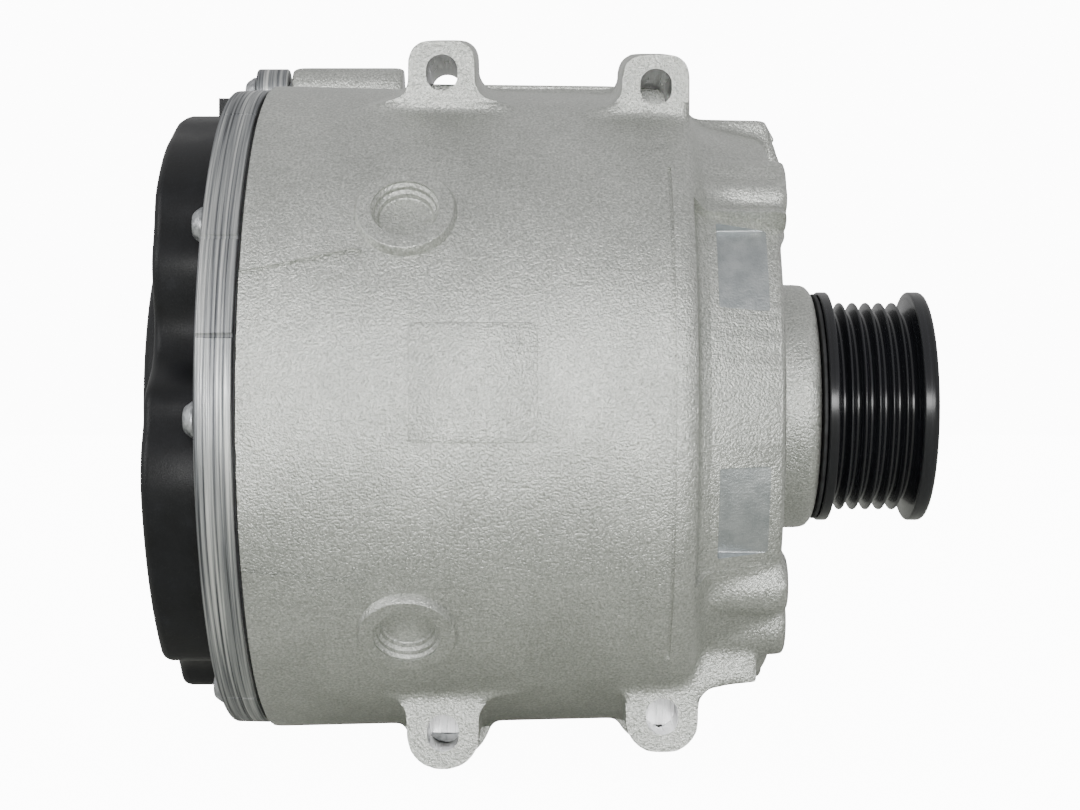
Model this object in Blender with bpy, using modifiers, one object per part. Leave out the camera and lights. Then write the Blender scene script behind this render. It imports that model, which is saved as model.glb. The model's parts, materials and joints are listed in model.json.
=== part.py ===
"""Liquid-cooled car alternator: a cast housing with four mounting ears, its rear bracket and cover,
the stator, the claw-pole rotor on two bearings, and an overrunning belt pulley.

Frame: the shaft axis is X, with +X towards the pulley. +Z is up. The ears' rear faces, which bolt to
the engine, face +Y. The origin is on the shaft axis, near the middle of the four ears.
"""

import math

import bmesh
import bpy
from mathutils import Matrix, Vector

MM = 0.001
GAP = 0.3 * MM  # between pieces that touch

BIG_STEPS = 40
MID_STEPS = 24
PULLEY_STEPS = 32
SMALL_STEPS = 16
TINY_STEPS = 10

# Housing: a drum that holds the stator, a narrower neck, and the front bearing's boss.
DRUM_REAR_X = -70.4 * MM
DRUM_REAR_R = 85.9 * MM
SHOULDER_X = 32.0 * MM
SHOULDER_R = 83.3 * MM
NECK_START_X = 40.5 * MM
NECK_START_R = 75.5 * MM
NECK_END_X = 58.8 * MM
NECK_END_R = 71.2 * MM
BOSS_R = 32.9 * MM
BOSS_END_X = 72.6 * MM
DRUM_BORE_R = 75.0 * MM
CHANNEL_R = 80.5 * MM  # the coolant channels, cast between the ears
CHANNELS_X = ((-57.0 * MM, -42.0 * MM), (-9.0 * MM, 12.0 * MM))
SLEEVE_STOP_X = 24.0 * MM
NECK_BORE_R = 66.0 * MM
FRONT_WALL_X = 53.6 * MM
SEAL_OPENING_R = 21.5 * MM

# Mounting ears: the bolt holes' centres, and shared sizes. Their rear faces are on one plane.
EAR_REAR_Y = -6.5 * MM
UPPER_EAR_FRONT_Y = -40.0 * MM
LOWER_EAR_FRONT_Y = -44.0 * MM
FORK_GAP_Y = (-31.0 * MM, -17.0 * MM)
UPPER_EARS = {"left": (-24.8 * MM, 84.2 * MM), "right": (29.3 * MM, 80.6 * MM)}
LOWER_EARS = {"left": (-24.3 * MM, -81.9 * MM), "right": (30.6 * MM, -77.7 * MM)}
EAR_BOLT_R = 4.6 * MM
EAR_HALF_WIDTH = 9.1 * MM
REAR_LUG_R = 11.5 * MM
FACING_DEPTH_Z = 80.2 * MM  # the ears' rear faces are milled down to here
RELIEF_X = {"left": (-38.5 * MM, -10.5 * MM), "right": (24.8 * MM, 43.5 * MM)}
UPPER_EAR_RISE = 13.9 * MM  # from the bolt hole up to the top, at the rear plane
UPPER_EAR_SLOPE = 6.3 * MM  # how much lower the top is at the front
BUSHING_R = 6.6 * MM

# Rear bracket, its screws, and the cover.
BRACKET_X = (-80.4 * MM, -71.5 * MM)
BRACKET_R = 84.8 * MM
LUG_Y = 30.0 * MM
LUG_Z = 89.2 * MM
SCREW_CIRCLE_R = 78.0 * MM
SCREW_ANGLES = (33.9, -2.3, -66.7, -128.0, 176.0, 112.0)  # degrees from -Y towards +Z
COVER_RIM_X = -80.8 * MM
COVER_FACE_X = -94.0 * MM
COVER_TOP_X = -98.8 * MM
COVER_WALL = 2.0 * MM
COVER_OUTLINE = (  # degrees, and radius in mm: full round but for hollows at the screws and a waist
    (-180, 71), (-175, 78), (-150, 78), (-136, 78), (-132, 71), (-122, 69), (-98, 69), (-90, 70),
    (-76, 76), (-71, 71), (-62, 71), (-57, 78.5), (-14, 78.5), (-7, 75.8), (-2.5, 71.6), (2.5, 71.6),
    (7, 63.8), (12, 60.3), (18, 60.2), (22, 63.2), (30, 71), (38, 72), (42, 78), (70, 78), (87, 78),
    (91, 72), (124, 71), (130, 78), (167, 78), (171, 71), (180, 71),
)  # fmt: skip

# Bearings: bore, outside, width, place along the shaft, and the balls in each.
FRONT_BEARING = {"bore_r": 8.5 * MM, "outer_r": 26.0 * MM, "width": 17.0 * MM, "x": 62.1 * MM, "balls": 8}
REAR_BEARING = {"bore_r": 7.5 * MM, "outer_r": 17.5 * MM, "width": 11.0 * MM, "x": -76.4 * MM, "balls": 8}
RETAINER_SCREW_CIRCLE_R = 29.6 * MM

# Stator and rotor.
SLEEVE_X = (-70.1 * MM, 23.7 * MM)
SLEEVE_R = (68.5 * MM, 74.7 * MM)
SLEEVE_CHANNEL_R = 71.5 * MM
SEAL_GROOVES_X = ((-66.5 * MM, -63.5 * MM), (16.5 * MM, 19.5 * MM))
STATOR_X = (-44.0 * MM, 0.0)
STATOR_R = (48.0 * MM, 68.2 * MM)
STATOR_SLOTS = 24
WINDING_R = (51.0 * MM, 65.5 * MM)
WINDING_REACH = 19.0 * MM
ROTOR_X = (-46.0 * MM, 2.0 * MM)
ROTOR_R = 47.3 * MM
POLE_DISC = 11.0 * MM
POLE_DISC_R = 40.0 * MM
POLE_CORE_R = 15.0 * MM
CLAWS = 6
SHAFT_R = 9.0 * MM
SHAFT_X = (-95.5 * MM, 100.0 * MM)
SLIP_RING_R = 9.0 * MM
SLIP_RINGS = {"outer": (-94.0 * MM, -90.2 * MM), "inner": (-88.0 * MM, -84.2 * MM)}
BRUSH = (2.6 * MM, 5.2 * MM, 12.0 * MM)

# Rectifier: two heat sinks, one outside the other, with press-fit diodes.
SINK_SPAN = (118.0, 335.0)  # degrees from +Y towards +Z
NEGATIVE_SINK = {"r": (41.5 * MM, 56.5 * MM), "x": (-84.0 * MM, -81.2 * MM), "diodes_r": 49.0 * MM}
POSITIVE_SINK = {"r": (23.5 * MM, 40.0 * MM), "x": (-88.0 * MM, -85.2 * MM), "diodes_r": 32.0 * MM}
DIODE_ANGLES = (150.0, 225.0, 300.0)
DIODE_R = 6.0 * MM

# Pulley: six belt grooves at the standard 3.56 mm pitch between two flanges.
GROOVE_PITCH = 3.56 * MM
GROOVES = 6
FIRST_GROOVE_X = 79.1 * MM
CREST_R = 28.05 * MM
GROOVE_R = 25.2 * MM
FLANGE_R = 30.9 * MM
PULLEY_X = (74.5 * MM, 103.0 * MM)
PULLEY_BORE_R = 20.0 * MM
PULLEY_SEAT_R = 7.7 * MM
HUB_R = 13.2 * MM
HUB_X = (71.0 * MM, 99.0 * MM)
CAP_TOP_X = 106.0 * MM

# Coolant and electrical connections, on the side that faces the engine.
PORT_PAD_X = (-44.0 * MM, 4.0 * MM)
PORT_PAD_Y = 88.0 * MM
PORT_X = -20.0 * MM
PORT_Z = 24.0 * MM
PORT_R = 10.0 * MM
SPIGOT_Y = (81.0 * MM, 98.0 * MM)
SOCKET = ((-87.8 * MM, 4.0 * MM, 75.0 * MM), (-80.8 * MM, 24.0 * MM, 84.2 * MM))
STUD_Y = 30.0 * MM
STUD_Z = -72.0 * MM


def collection(name):
    new = bpy.data.collections.new(name)
    bpy.context.scene.collection.children.link(new)
    return new


def material(name, color, metallic, roughness):
    new = bpy.data.materials.new(name)
    new.use_nodes = True
    shader = new.node_tree.nodes["Principled BSDF"]
    shader.inputs["Base Color"].default_value = (*color, 1.0)
    shader.inputs["Metallic"].default_value = metallic
    shader.inputs["Roughness"].default_value = roughness
    return new


for old in list(bpy.data.objects):
    bpy.data.objects.remove(old, do_unlink=True)

PARTS = collection("liquid_cooled_alternator")
CUTTERS = collection("cutters")

CAST = material("cast_aluminium", (0.55, 0.55, 0.54), 0.8, 0.55)
MACHINED = material("machined_aluminium", (0.50, 0.50, 0.50), 0.9, 0.35)
BLACK_PLASTIC = material("black_plastic", (0.012, 0.012, 0.013), 0.0, 0.45)
BLACK_STEEL = material("black_coated_steel", (0.010, 0.010, 0.011), 0.3, 0.35)
STEEL = material("bright_steel", (0.56, 0.56, 0.57), 1.0, 0.3)
ZINC_STEEL = material("zinc_plated_steel", (0.45, 0.46, 0.47), 1.0, 0.4)
LAMINATION = material("lamination_steel", (0.20, 0.20, 0.21), 0.9, 0.5)
COPPER = material("enamelled_copper", (0.45, 0.14, 0.05), 0.9, 0.35)
BARE_COPPER = material("bare_copper", (0.62, 0.24, 0.12), 1.0, 0.3)
RUBBER = material("black_rubber", (0.008, 0.008, 0.008), 0.0, 0.7)
CARBON = material("carbon_brush", (0.03, 0.03, 0.03), 0.2, 0.6)
BRASS = material("brass", (0.60, 0.42, 0.16), 1.0, 0.3)


def place(name, mesh, finish=None, matrix=None):
    """A new object: a part with its finish, or a cutter that the build leaves out."""
    obj = bpy.data.objects.new(name, mesh)
    if matrix is not None:
        obj.matrix_world = matrix
    if finish is None:
        CUTTERS.objects.link(obj)
        obj.hide_render = True
        obj.display_type = "WIRE"
    else:
        mesh.materials.clear()
        mesh.materials.append(finish)
        PARTS.objects.link(obj)
    return obj


def mesh_from(bm, name):
    mesh = bpy.data.meshes.new(name)
    bm.to_mesh(mesh)
    bm.free()
    return mesh


AXIS_ALONG_X = Matrix.Rotation(math.radians(90), 4, "Y")


def turned(name, profile, steps, finish=None, matrix=AXIS_ALONG_X):
    """A turned shape. The profile is (place along the axis, radius), and runs from the far end of the
    axis to the near one on the outer side. It is a ring if its two ends aren't on the axis."""
    bm = bmesh.new()
    points = [bm.verts.new((radius, 0.0, along)) for along, radius in profile]
    for first, second in zip(points, points[1:]):
        bm.edges.new((first, second))
    if profile[0][1] > 0.0:
        bm.edges.new((points[-1], points[0]))
    obj = place(name, mesh_from(bm, name), finish, matrix)
    screw = obj.modifiers.new("turn", "SCREW")
    screw.axis = "Z"
    screw.steps = steps
    screw.render_steps = steps
    screw.use_merge_vertices = True
    screw.merge_threshold = 0.00001
    screw.use_smooth_shade = False
    return obj


def ring(name, x_range, r_range, steps, finish=None):
    (x0, x1), (r0, r1) = x_range, r_range
    return turned(name, [(x1, r0), (x1, r1), (x0, r1), (x0, r0)], steps, finish)


def rod(name, start, end, radius, steps, finish=None):
    """A straight round bar between two points."""
    start, end = Vector(start), Vector(end)
    bm = bmesh.new()
    bmesh.ops.create_cone(
        bm, cap_ends=True, segments=steps, radius1=radius, radius2=radius, depth=(end - start).length
    )
    turn = (end - start).to_track_quat("Z", "Y").to_matrix().to_4x4()
    return place(name, mesh_from(bm, name), finish, Matrix.Translation((start + end) / 2) @ turn)


def box(name, low, high, finish=None):
    low, high = Vector(low), Vector(high)
    bm = bmesh.new()
    bmesh.ops.create_cube(bm, size=1.0, matrix=Matrix.Diagonal((*(high - low), 1.0)))
    return place(name, mesh_from(bm, name), finish, Matrix.Translation((low + high) / 2))


def plate(name, outlines, low, high, turn, finish=None):
    """A flat outline, with any holes, made thick along its normal from low to high. It is drawn as a
    filled curve, and made a mesh so that it can be cut."""
    curve = bpy.data.curves.new(name + "_outline", "CURVE")
    curve.dimensions = "2D"
    curve.fill_mode = "BOTH"
    curve.extrude = (high - low) / 2
    for outline in outlines:
        spline = curve.splines.new("POLY")
        spline.points.add(len(outline) - 1)
        for point, (u, v) in zip(spline.points, outline):
            point.co = (u, v, 0.0, 1.0)
        spline.use_cyclic_u = True
    drawn = bpy.data.objects.new(name + "_outline", curve)
    bpy.context.scene.collection.objects.link(drawn)
    bpy.context.view_layer.update()
    mesh = bpy.data.meshes.new_from_object(drawn.evaluated_get(bpy.context.evaluated_depsgraph_get()))
    bpy.data.objects.remove(drawn, do_unlink=True)
    bm = bmesh.new()
    bm.from_mesh(mesh)
    bmesh.ops.remove_doubles(bm, verts=bm.verts[:], dist=0.000001)
    bmesh.ops.recalc_face_normals(bm, faces=bm.faces[:])
    bm.to_mesh(mesh)
    bm.free()
    return place(name, mesh, finish, turn @ Matrix.Translation((0.0, 0.0, (low + high) / 2)))


# A plate drawn in (X, Z) whose thickness runs along -Y, and one drawn in (Y, Z), along X.
FACING_FRONT = Matrix.Rotation(math.radians(90), 4, "X")
FACING_SIDE = Matrix(((0, 0, 1, 0), (1, 0, 0, 0), (0, 1, 0, 0), (0, 0, 0, 1)))


def boolean(target, tool, operation):
    modifier = target.modifiers.new(f"{operation.lower()}_{tool.name}", "BOOLEAN")
    modifier.operation = operation
    modifier.object = tool
    modifier.solver = "EXACT"


def cut(target, *tools):
    for tool in tools:
        boolean(target, tool, "DIFFERENCE")


def join(target, *tools):
    for tool in tools:
        boolean(target, tool, "UNION")


def arc(centre, radius, start, end, steps):
    """Points on an arc between two angles in degrees."""
    angles = [math.radians(start + (end - start) * k / steps) for k in range(steps + 1)]
    return [(centre[0] + radius * math.cos(a), centre[1] + radius * math.sin(a)) for a in angles]


def around_axis(radius, degrees, x):
    """A point around the shaft axis. The angle runs from -Y towards +Z."""
    angle = math.radians(degrees)
    return (x, -radius * math.cos(angle), radius * math.sin(angle))


def headed_bolt(name, seat, head_end, shank, head, finish):
    """A bolt or screw with a domed head. The head stands out of its seat towards head_end."""
    (shank_r, shank_length), (head_r, head_height) = shank, head
    profile = [
        (head_height, 0.0),
        (head_height * 0.8, head_r * 0.62),
        (head_height * 0.25, head_r),
        (0.0, head_r),
        (0.0, shank_r),
        (-shank_length, shank_r),
        (-shank_length, 0.0),
    ]
    turn = Vector(head_end).to_track_quat("Z", "Y").to_matrix().to_4x4()
    return turned(name, profile, TINY_STEPS, finish, Matrix.Translation(seat) @ turn)


# ---------------------------------------------------------------- housing


def upper_ear(name, hole):
    """A block with round top corners and a flared foot. Its top slopes down to the front."""
    x, z = hole
    half, top, foot, corner = EAR_HALF_WIDTH, z + UPPER_EAR_RISE, z - 22 * MM, 5 * MM
    outline = [(x + half + 3 * MM, foot), (x + half + 3 * MM, z - 7 * MM), (x + half, z - 3 * MM)]
    outline += arc((x + half - corner, top - corner), corner, 0, 90, 3)
    outline += arc((x - half + corner, top - corner), corner, 90, 180, 3)
    outline += [(x - half, z - 3 * MM), (x - half - 3 * MM, z - 7 * MM), (x - half - 3 * MM, foot)]
    ear = plate(name, [outline], -EAR_REAR_Y - 1 * MM, -UPPER_EAR_FRONT_Y, FACING_FRONT)
    for vertex in ear.data.vertices:
        if vertex.co.z > 0.0:
            vertex.co.y -= UPPER_EAR_SLOPE * (vertex.co.y - foot) / (top - foot)
    ear.modifiers.new("flat_faces", "TRIANGULATE")
    return ear


def lower_ear(name, hole):
    """A round-ended lug."""
    x, z = hole
    half, foot = EAR_HALF_WIDTH, z + 22 * MM
    outline = [(x - half - 2 * MM, foot), (x - half, z + 5 * MM)]
    outline += arc((x, z), half, 180, 360, 8)
    outline += [(x + half, z + 5 * MM), (x + half + 2 * MM, foot)]
    return plate(name, [outline], -EAR_REAR_Y - 1 * MM, -LOWER_EAR_FRONT_Y, FACING_FRONT)


def housing_blank():
    """The turned outside, solid for now."""
    outer = [
        (BOSS_END_X, 0.0),
        (BOSS_END_X, BOSS_R - 2 * MM),
        (BOSS_END_X - 2 * MM, BOSS_R),
        (NECK_END_X, BOSS_R),
        (NECK_END_X, NECK_END_R - 1.5 * MM),
        (NECK_END_X - 1.5 * MM, NECK_END_R),
        (NECK_START_X, NECK_START_R),
        (NECK_START_X - 3 * MM, NECK_START_R + 1.5 * MM),
        (SHOULDER_X + 3 * MM, SHOULDER_R - 1 * MM),
        (SHOULDER_X, SHOULDER_R),
        (DRUM_REAR_X, DRUM_REAR_R),
        (DRUM_REAR_X, 0.0),
    ]
    return turned("front_housing", outer, BIG_STEPS, CAST)


def add_housing_bosses(housing):
    for side, hole in UPPER_EARS.items():
        join(housing, upper_ear(f"upper_ear_{side}", hole))
    for side, hole in LOWER_EARS.items():
        join(housing, lower_ear(f"lower_ear_{side}", hole))
        x, z = hole
        start, end = (x, FORK_GAP_Y[1] - 0.5 * MM, z), (x, EAR_REAR_Y - 0.4 * MM, z)
        join(housing, rod(f"rear_lug_{side}", start, end, REAR_LUG_R, SMALL_STEPS))

    # The flange web that ties the upper ears together and runs on over the neck.
    web = [(-34, 60), (60, 60), (60, 76.2), (40, 76.2), (34, 84.6), (-34, 85.6)]
    web = [(x * MM, z * MM) for x, z in web]
    join(housing, plate("flange_web", [web], -EAR_REAR_Y + 0.4 * MM, 11.5 * MM, FACING_FRONT))

    # Two rounded lobes on the neck's end, and the foot under it.
    for name, degrees in (("lobe_upper", 50.0), ("lobe_lower", -48.0)):
        start = around_axis(64.5 * MM, degrees, SHOULDER_X - 4 * MM)
        end = around_axis(64.5 * MM, degrees, 61.4 * MM)
        join(housing, rod(name, start, end, 9 * MM, SMALL_STEPS))
    foot_start, foot_end = (36 * MM, 8 * MM, -66 * MM), (60.6 * MM, 8 * MM, -66 * MM)
    join(housing, rod("neck_foot", foot_start, foot_end, 8.8 * MM, SMALL_STEPS))

    # The long boss for the bracket's bolt, and the pad for the coolant spigots.
    boss_end = -38 * MM
    rear = DRUM_REAR_X + 0.2 * MM
    join(housing, rod("bolt_boss", (rear, LUG_Y, LUG_Z), (boss_end, LUG_Y, LUG_Z), 7.4 * MM, SMALL_STEPS))
    root_low = (rear + 0.5 * MM, LUG_Y - 6.5 * MM, 65 * MM)
    join(housing, box("boss_root", root_low, (boss_end - 1 * MM, LUG_Y + 6.5 * MM, LUG_Z)))
    pad_low = (PORT_PAD_X[0], 50 * MM, -PORT_Z - 18 * MM)
    join(housing, box("port_pad", pad_low, (PORT_PAD_X[1], PORT_PAD_Y, PORT_Z + 18 * MM)))


def hollow_housing(housing):
    seat_end = FRONT_BEARING["x"] + FRONT_BEARING["width"] / 2 + GAP
    seat_r = FRONT_BEARING["outer_r"] + GAP
    bore = [(BOSS_END_X + 2 * MM, 0.0), (BOSS_END_X + 2 * MM, SEAL_OPENING_R), (seat_end, SEAL_OPENING_R)]
    bore += [(seat_end, seat_r), (FRONT_WALL_X, seat_r)]
    bore += [(FRONT_WALL_X, NECK_BORE_R - 4 * MM), (FRONT_WALL_X - 4 * MM, NECK_BORE_R)]
    bore += [(SLEEVE_STOP_X, NECK_BORE_R), (SLEEVE_STOP_X, DRUM_BORE_R)]
    for low, high in reversed(CHANNELS_X):
        bore += [(high, DRUM_BORE_R), (high - 3 * MM, CHANNEL_R)]
        bore += [(low + 3 * MM, CHANNEL_R), (low, DRUM_BORE_R)]
    bore += [(DRUM_REAR_X - 2 * MM, DRUM_BORE_R), (DRUM_REAR_X - 2 * MM, 0.0)]
    cut(housing, turned("housing_bore", bore, BIG_STEPS))


def drill_housing(housing):
    # Each ear's rear face is milled flat, and the drum behind it is cut back to let its bolt pass.
    for level, ears in (("upper", UPPER_EARS), ("lower", LOWER_EARS)):
        for side, (x, z) in ears.items():
            up = math.copysign(1.0, z)
            shallow, deep, beyond = up * FACING_DEPTH_Z, z - up * 5.4 * MM, up * 110 * MM
            step_x, end_x = RELIEF_X[side]
            outline = [(step_x, shallow), (step_x, deep), (end_x, deep), (end_x, beyond)]
            if side == "left":
                outline.append((step_x, beyond))
            else:
                outline += [(x - 14 * MM, beyond), (x - 14 * MM, shallow)]
            cut(housing, plate(f"{level}_{side}_relief", [outline], -60 * MM, -EAR_REAR_Y, FACING_FRONT))
            start, end = (x, -50 * MM, z), (x, 2 * MM, z)
            cut(housing, rod(f"{level}_{side}_hole", start, end, EAR_BOLT_R, SMALL_STEPS))
    for side, (x, z) in LOWER_EARS.items():
        gap_top = -math.sqrt(DRUM_REAR_R**2 - FORK_GAP_Y[1] ** 2) + (0 if x < 0 else 2 * MM)
        gap_low = (x - 16 * MM, FORK_GAP_Y[0], z - 16 * MM)
        gap = box(f"fork_gap_{side}", gap_low, (x + 16 * MM, FORK_GAP_Y[1], gap_top))
        start, end = (x, FORK_GAP_Y[1] - 1 * MM, z), (x, 2 * MM, z)
        seat = rod(f"bushing_seat_{side}", start, end, BUSHING_R + GAP, SMALL_STEPS)
        cut(housing, gap, seat)
    for name, degrees in (("upper_pocket", 33.0), ("lower_pocket", -40.0)):
        floor = around_axis(82 * MM, degrees, -32 * MM)
        cut(housing, rod(name, floor, around_axis(92 * MM, degrees, -32 * MM), 7.6 * MM, SMALL_STEPS))
    for k in range(3):
        start = around_axis(RETAINER_SCREW_CIRCLE_R, 90 + 120 * k, FRONT_WALL_X - 1 * MM)
        end = around_axis(RETAINER_SCREW_CIRCLE_R, 90 + 120 * k, 64 * MM)
        cut(housing, rod(f"retainer_hole_{k + 1}", start, end, 2 * MM + GAP, TINY_STEPS))
    for k, degrees in enumerate(SCREW_ANGLES):
        start = around_axis(SCREW_CIRCLE_R, degrees, DRUM_REAR_X - 1 * MM)
        end = around_axis(SCREW_CIRCLE_R, degrees, DRUM_REAR_X + 9 * MM)
        cut(housing, rod(f"bracket_thread_{k + 1}", start, end, 2.4 * MM + GAP, TINY_STEPS))
    for name, z in (("port_lower", -PORT_Z), ("port_upper", PORT_Z)):
        cut(housing, rod(name, (PORT_X, 60 * MM, z), (PORT_X, 95 * MM, z), PORT_R + GAP, SMALL_STEPS))
    start, end = (DRUM_REAR_X - 3 * MM, LUG_Y, LUG_Z), (-46 * MM, LUG_Y, LUG_Z)
    cut(housing, rod("lug_thread", start, end, 3 * MM + GAP, TINY_STEPS))


def ear_bushings():
    for side, (x, z) in LOWER_EARS.items():
        start, end = (x, FORK_GAP_Y[1] + 0.5 * MM, z), (x, EAR_REAR_Y - 0.5 * MM, z)
        bushing = rod(f"ear_bushing_{side}", start, end, BUSHING_R, SMALL_STEPS, ZINC_STEEL)
        cut(bushing, rod(f"bushing_bore_{side}", (x, -30 * MM, z), (x, 0, z), EAR_BOLT_R, SMALL_STEPS))


# ---------------------------------------------------------------- cooling sleeve and stator


def cooling_sleeve():
    """The stator's carrier. Its seals run in the housing at both ends, and coolant flows between."""
    inner, land = SLEEVE_R
    profile = [(SLEEVE_X[1], inner), (SLEEVE_X[1], land)]
    rear_groove, front_groove = SEAL_GROOVES_X
    depth = land - 2 * MM
    profile += [(front_groove[1], land), (front_groove[1], depth)]
    profile += [(front_groove[0], depth), (front_groove[0], land)]
    profile += [(13 * MM, land), (12 * MM, SLEEVE_CHANNEL_R), (-58 * MM, SLEEVE_CHANNEL_R), (-59 * MM, land)]
    profile += [(rear_groove[1], land), (rear_groove[1], depth)]
    profile += [(rear_groove[0], depth), (rear_groove[0], land)]
    profile += [(SLEEVE_X[0], land), (SLEEVE_X[0], inner)]
    turned("cooling_sleeve", profile, BIG_STEPS, MACHINED)
    for name, (low, high) in zip(("jacket_seal_rear", "jacket_seal_front"), SEAL_GROOVES_X):
        ring(name, (low + GAP, high - GAP), (depth + GAP, land), BIG_STEPS, RUBBER)


def stator():
    """The laminated core, with open slots inside, and the winding heads at its two ends."""
    pitch = 360.0 / STATOR_SLOTS
    bore, slot_floor = STATOR_R[0], STATOR_R[1] - 5 * MM
    inner = []
    for k in range(STATOR_SLOTS):
        start = k * pitch
        inner += arc((0, 0), bore, start, start + pitch * 0.5, 1)
        inner += arc((0, 0), slot_floor, start + pitch * 0.5, start + pitch, 1)
    outer = arc((0, 0), STATOR_R[1], 0, 360 - 360 / BIG_STEPS, BIG_STEPS - 1)
    plate("stator_core", [outer, inner], *STATOR_X, FACING_SIDE, LAMINATION)
    for name, near, far in (
        ("winding_head_front", STATOR_X[1] + GAP, STATOR_X[1] + WINDING_REACH),
        ("winding_head_rear", STATOR_X[0] - GAP, STATOR_X[0] - WINDING_REACH),
    ):
        low, high = min(near, far), max(near, far)
        rounding = 4 * MM
        low_rounding = rounding if far < near else 0.0
        high_rounding = rounding if far > near else 0.0
        profile = [(high, WINDING_R[0] + high_rounding), (high, WINDING_R[1] - high_rounding)]
        profile += [(high - rounding, WINDING_R[1]), (low + rounding, WINDING_R[1])]
        profile += [(low, WINDING_R[1] - low_rounding), (low, WINDING_R[0] + low_rounding)]
        profile += [(low + rounding, WINDING_R[0]), (high - rounding, WINDING_R[0])]
        turned(name, profile, MID_STEPS, COPPER)


# ---------------------------------------------------------------- rotor


def claw(name, root_x, tip_x, degrees):
    """One tapered finger, over the field coil."""
    half_width, inner_r = (12.5 * MM, 5 * MM), (36.5 * MM, 42.5 * MM)
    bm = bmesh.new()
    bmesh.ops.create_cube(bm, size=2.0)
    for vertex in bm.verts:
        end = 0 if vertex.co.x < 0 else 1
        vertex.co.x = (root_x, tip_x)[end]
        vertex.co.y *= half_width[end]
        vertex.co.z = ROTOR_R + 3 * MM if vertex.co.z > 0 else inner_r[end]
    bmesh.ops.recalc_face_normals(bm, faces=bm.faces[:])
    return place(name, mesh_from(bm, name), None, Matrix.Rotation(math.radians(degrees), 4, "X"))


def claw_pole(name, disc_x, core_end_x, tip_x, first_degrees):
    low, high = disc_x
    inner = SHAFT_R + GAP
    if core_end_x > high:
        profile = [(core_end_x, inner), (core_end_x, POLE_CORE_R), (high, POLE_CORE_R), (high, POLE_DISC_R)]
        profile += [(low, POLE_DISC_R), (low, inner)]
    else:
        profile = [(high, inner), (high, POLE_DISC_R), (low, POLE_DISC_R), (low, POLE_CORE_R)]
        profile += [(core_end_x, POLE_CORE_R), (core_end_x, inner)]
    pole = turned(name, profile, MID_STEPS, BLACK_STEEL)
    root_x = (low + high) / 2
    for k in range(CLAWS):
        join(pole, claw(f"{name}_claw_{k + 1}", root_x, tip_x, first_degrees + k * 360 / CLAWS))
    start, end = (ROTOR_X[0] - 5 * MM, 0, 0), (ROTOR_X[1] + 5 * MM, 0, 0)
    boolean(pole, rod(f"{name}_round", start, end, ROTOR_R, BIG_STEPS), "INTERSECT")


def rotor():
    middle = (ROTOR_X[0] + ROTOR_X[1]) / 2
    rear_disc = (ROTOR_X[0], ROTOR_X[0] + POLE_DISC)
    front_disc = (ROTOR_X[1] - POLE_DISC, ROTOR_X[1])
    claw_pole("claw_pole_rear", rear_disc, middle - GAP / 2, ROTOR_X[1] - 2 * MM, 0)
    claw_pole("claw_pole_front", front_disc, middle + GAP / 2, ROTOR_X[0] + 2 * MM, 180 / CLAWS)
    coil_x = (rear_disc[1] + 0.5 * MM, front_disc[0] - 0.5 * MM)
    ring("field_coil", coil_x, (POLE_CORE_R + 0.4 * MM, 35.8 * MM), MID_STEPS, COPPER)

    front_seat_x = FRONT_BEARING["x"] - FRONT_BEARING["width"] / 2
    rear_seat_x = REAR_BEARING["x"] + REAR_BEARING["width"] / 2
    steps = [
        (SHAFT_X[1], HUB_X[0] - GAP, PULLEY_SEAT_R),
        (HUB_X[0] - GAP, front_seat_x - GAP, FRONT_BEARING["bore_r"] - GAP),
        (front_seat_x - GAP, rear_seat_x + GAP, SHAFT_R),
        (rear_seat_x + GAP, -82.6 * MM, REAR_BEARING["bore_r"] - GAP),
        (-82.6 * MM, SHAFT_X[0], 5 * MM),
    ]
    profile = [(SHAFT_X[1], 0.0)]
    for high, low, radius in steps:
        profile += [(high, radius), (low, radius)]
    profile.append((SHAFT_X[0], 0.0))
    turned("shaft", profile, SMALL_STEPS, STEEL)
    for name, x_range in SLIP_RINGS.items():
        ring(f"slip_ring_{name}", x_range, (5 * MM + GAP, SLIP_RING_R), SMALL_STEPS, BARE_COPPER)


def bearing(side, size):
    """The two races, and the balls in their cage."""
    span = size["outer_r"] - size["bore_r"]
    race_r = (size["bore_r"] + 0.26 * span, size["outer_r"] - 0.23 * span)
    pitch_r = sum(race_r) / 2
    ball_r = (race_r[1] - race_r[0]) / 2 - 0.5 * MM
    x_range = (size["x"] - size["width"] / 2, size["x"] + size["width"] / 2)
    ring(f"{side}_bearing_inner", x_range, (size["bore_r"], race_r[0]), MID_STEPS, STEEL)
    ring(f"{side}_bearing_outer", x_range, (race_r[1], size["outer_r"]), MID_STEPS, STEEL)
    cage_x = (size["x"] - 0.6 * ball_r, size["x"] + 0.6 * ball_r)
    cage_r = (pitch_r - 0.3 * ball_r, pitch_r + 0.3 * ball_r)
    cage = ring(f"{side}_ball_cage", cage_x, cage_r, MID_STEPS, BRASS)
    for k in range(size["balls"]):
        bm = bmesh.new()
        bmesh.ops.create_uvsphere(bm, u_segments=6, v_segments=4, radius=ball_r)
        centre = Matrix.Translation(around_axis(pitch_r, k * 360 / size["balls"], size["x"]))
        join(cage, place(f"{side}_ball_{k + 1}", mesh_from(bm, "ball"), None, centre))


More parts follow.
